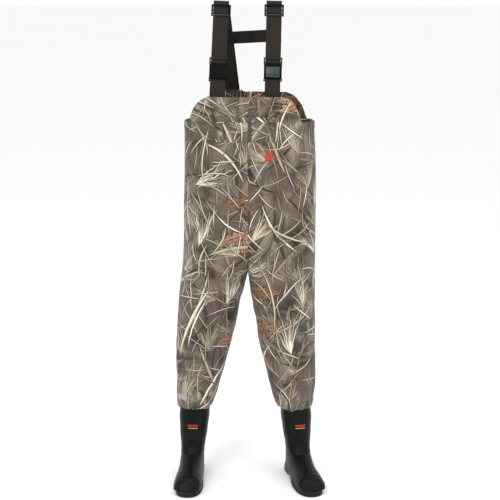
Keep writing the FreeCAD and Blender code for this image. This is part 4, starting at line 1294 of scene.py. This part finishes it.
def make_badge(side, upper, looks):
    """A plain raised badge on the front of the shaft: a red bar over a thin yellow one."""
    mesh = upper.data
    tree = BVHTree.FromPolygons([v.co for v in mesh.vertices], [p.vertices for p in mesh.polygons])
    sign = SIDES[side]
    ankle_x, toe_out = ANKLE[side]
    badge_z = 0.197
    turn = math.radians(sign * toe_out)
    forward = Vector((math.sin(turn), -math.cos(turn), 0))
    sideways = Vector((math.cos(turn), math.sin(turn), 0))
    middle_x = -sign * SHAFT_LEAN * (badge_z - 0.1)
    centre = Vector((sign * ankle_x, 0, badge_z - HANG_HEIGHT)) + sideways * middle_x
    pieces = []
    for label, wide, tall, lift, thick, look in (
            ("plate", 0.040, 0.020, 0.0, 0.0010, "rubber"), ("red", 0.036, 0.0085, 0.0035, 0.0018, "red"),
            ("yellow", 0.034, 0.0034, -0.0058, 0.0018, "yellow")):
        columns, rows = 25, 9
        outline = []
        for i in range(rows):
            for j in range(columns):
                a, b = (j / (columns - 1) - 0.5) * wide, (i / (rows - 1) - 0.5) * tall
                corner = min(0.0015, tall / 2)
                inside_x, inside_z = wide / 2 - abs(a), tall / 2 - abs(b)
                if inside_x < corner and inside_z < corner:
                    a *= 1 - 0.3 * corner / wide
                start = centre + sideways * a + Vector((0, 0, lift + b)) + forward * 0.2
                place, normal, _, _ = tree.ray_cast(start, -forward)
                if normal.dot(forward) < 0:
                    normal = -normal
                edge = min(inside_x, inside_z) < 1e-6
                outline.append(place + normal * (0.0002 if edge else thick))
        faces = grid_faces(rows, columns)
        piece = make_object(f"{side}_badge_{label}", [tuple(v) for v in outline], faces)
        piece.data.materials.append(looks[look])
        pieces.append(piece)
    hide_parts(f"{side}_boot_badge")
    for piece in pieces:
        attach(piece, f"{side}_shin")


def make_stage():
    """Camera, pale floor and soft studio light."""
    camera = bpy.data.objects.new("camera", bpy.data.cameras.new("camera"))
    camera.location = (0.007, -4.2, 1.7 - HANG_HEIGHT)
    camera.rotation_euler = (math.radians(90 - 11.97), 0, 0)
    camera.data.sensor_width = 36.0
    camera.data.lens = 91.08
    bpy.context.scene.collection.objects.link(camera)
    bpy.context.scene.camera = camera

    bpy.ops.mesh.primitive_circle_add(vertices=96, radius=90, fill_type="NGON",
                                      location=(0, 0, -HANG_HEIGHT - 0.0005))
    floor = bpy.context.object
    floor.name = "floor"
    material, _, shader = new_material("floor")
    shader["Base Color"].default_value = (0.95, 0.95, 0.95, 1)
    shader["Roughness"].default_value = 0.9
    floor.data.materials.append(material)

    world = bpy.data.worlds.new("studio")
    world.use_nodes = True
    world.node_tree.nodes["Background"].inputs["Color"].default_value = (1, 1, 1, 1)
    world.node_tree.nodes["Background"].inputs["Strength"].default_value = 1.0
    bpy.context.scene.world = world
    for name, place, size, power in (("key", (-1.6, -3.2, 1.6), 1.6, 62), ("fill", (2.2, -2.6, 0.8), 1.8, 24),
                                     ("top", (0.2, -0.6, 2.4), 2.0, 34)):
        light = bpy.data.objects.new(name, bpy.data.lights.new(name, "AREA"))
        light.data.size = size
        light.data.energy = power
        light.location = place
        aim = Vector((0, 0, -0.7)) - Vector(place)
        light.rotation_euler = aim.to_track_quat("-Z", "Y").to_euler()
        bpy.context.scene.collection.objects.link(light)
    bpy.context.scene.view_settings.view_transform = "Standard"


make_stage()
LOOKS = make_looks()
make_fabric(LOOKS["camo"])
make_hems(LOOKS)
make_pocket(LOOKS)
make_emblem(LOOKS)
make_straps(LOOKS)
make_ruffle(LOOKS)
make_hardware(LOOKS)
make_boots(LOOKS)
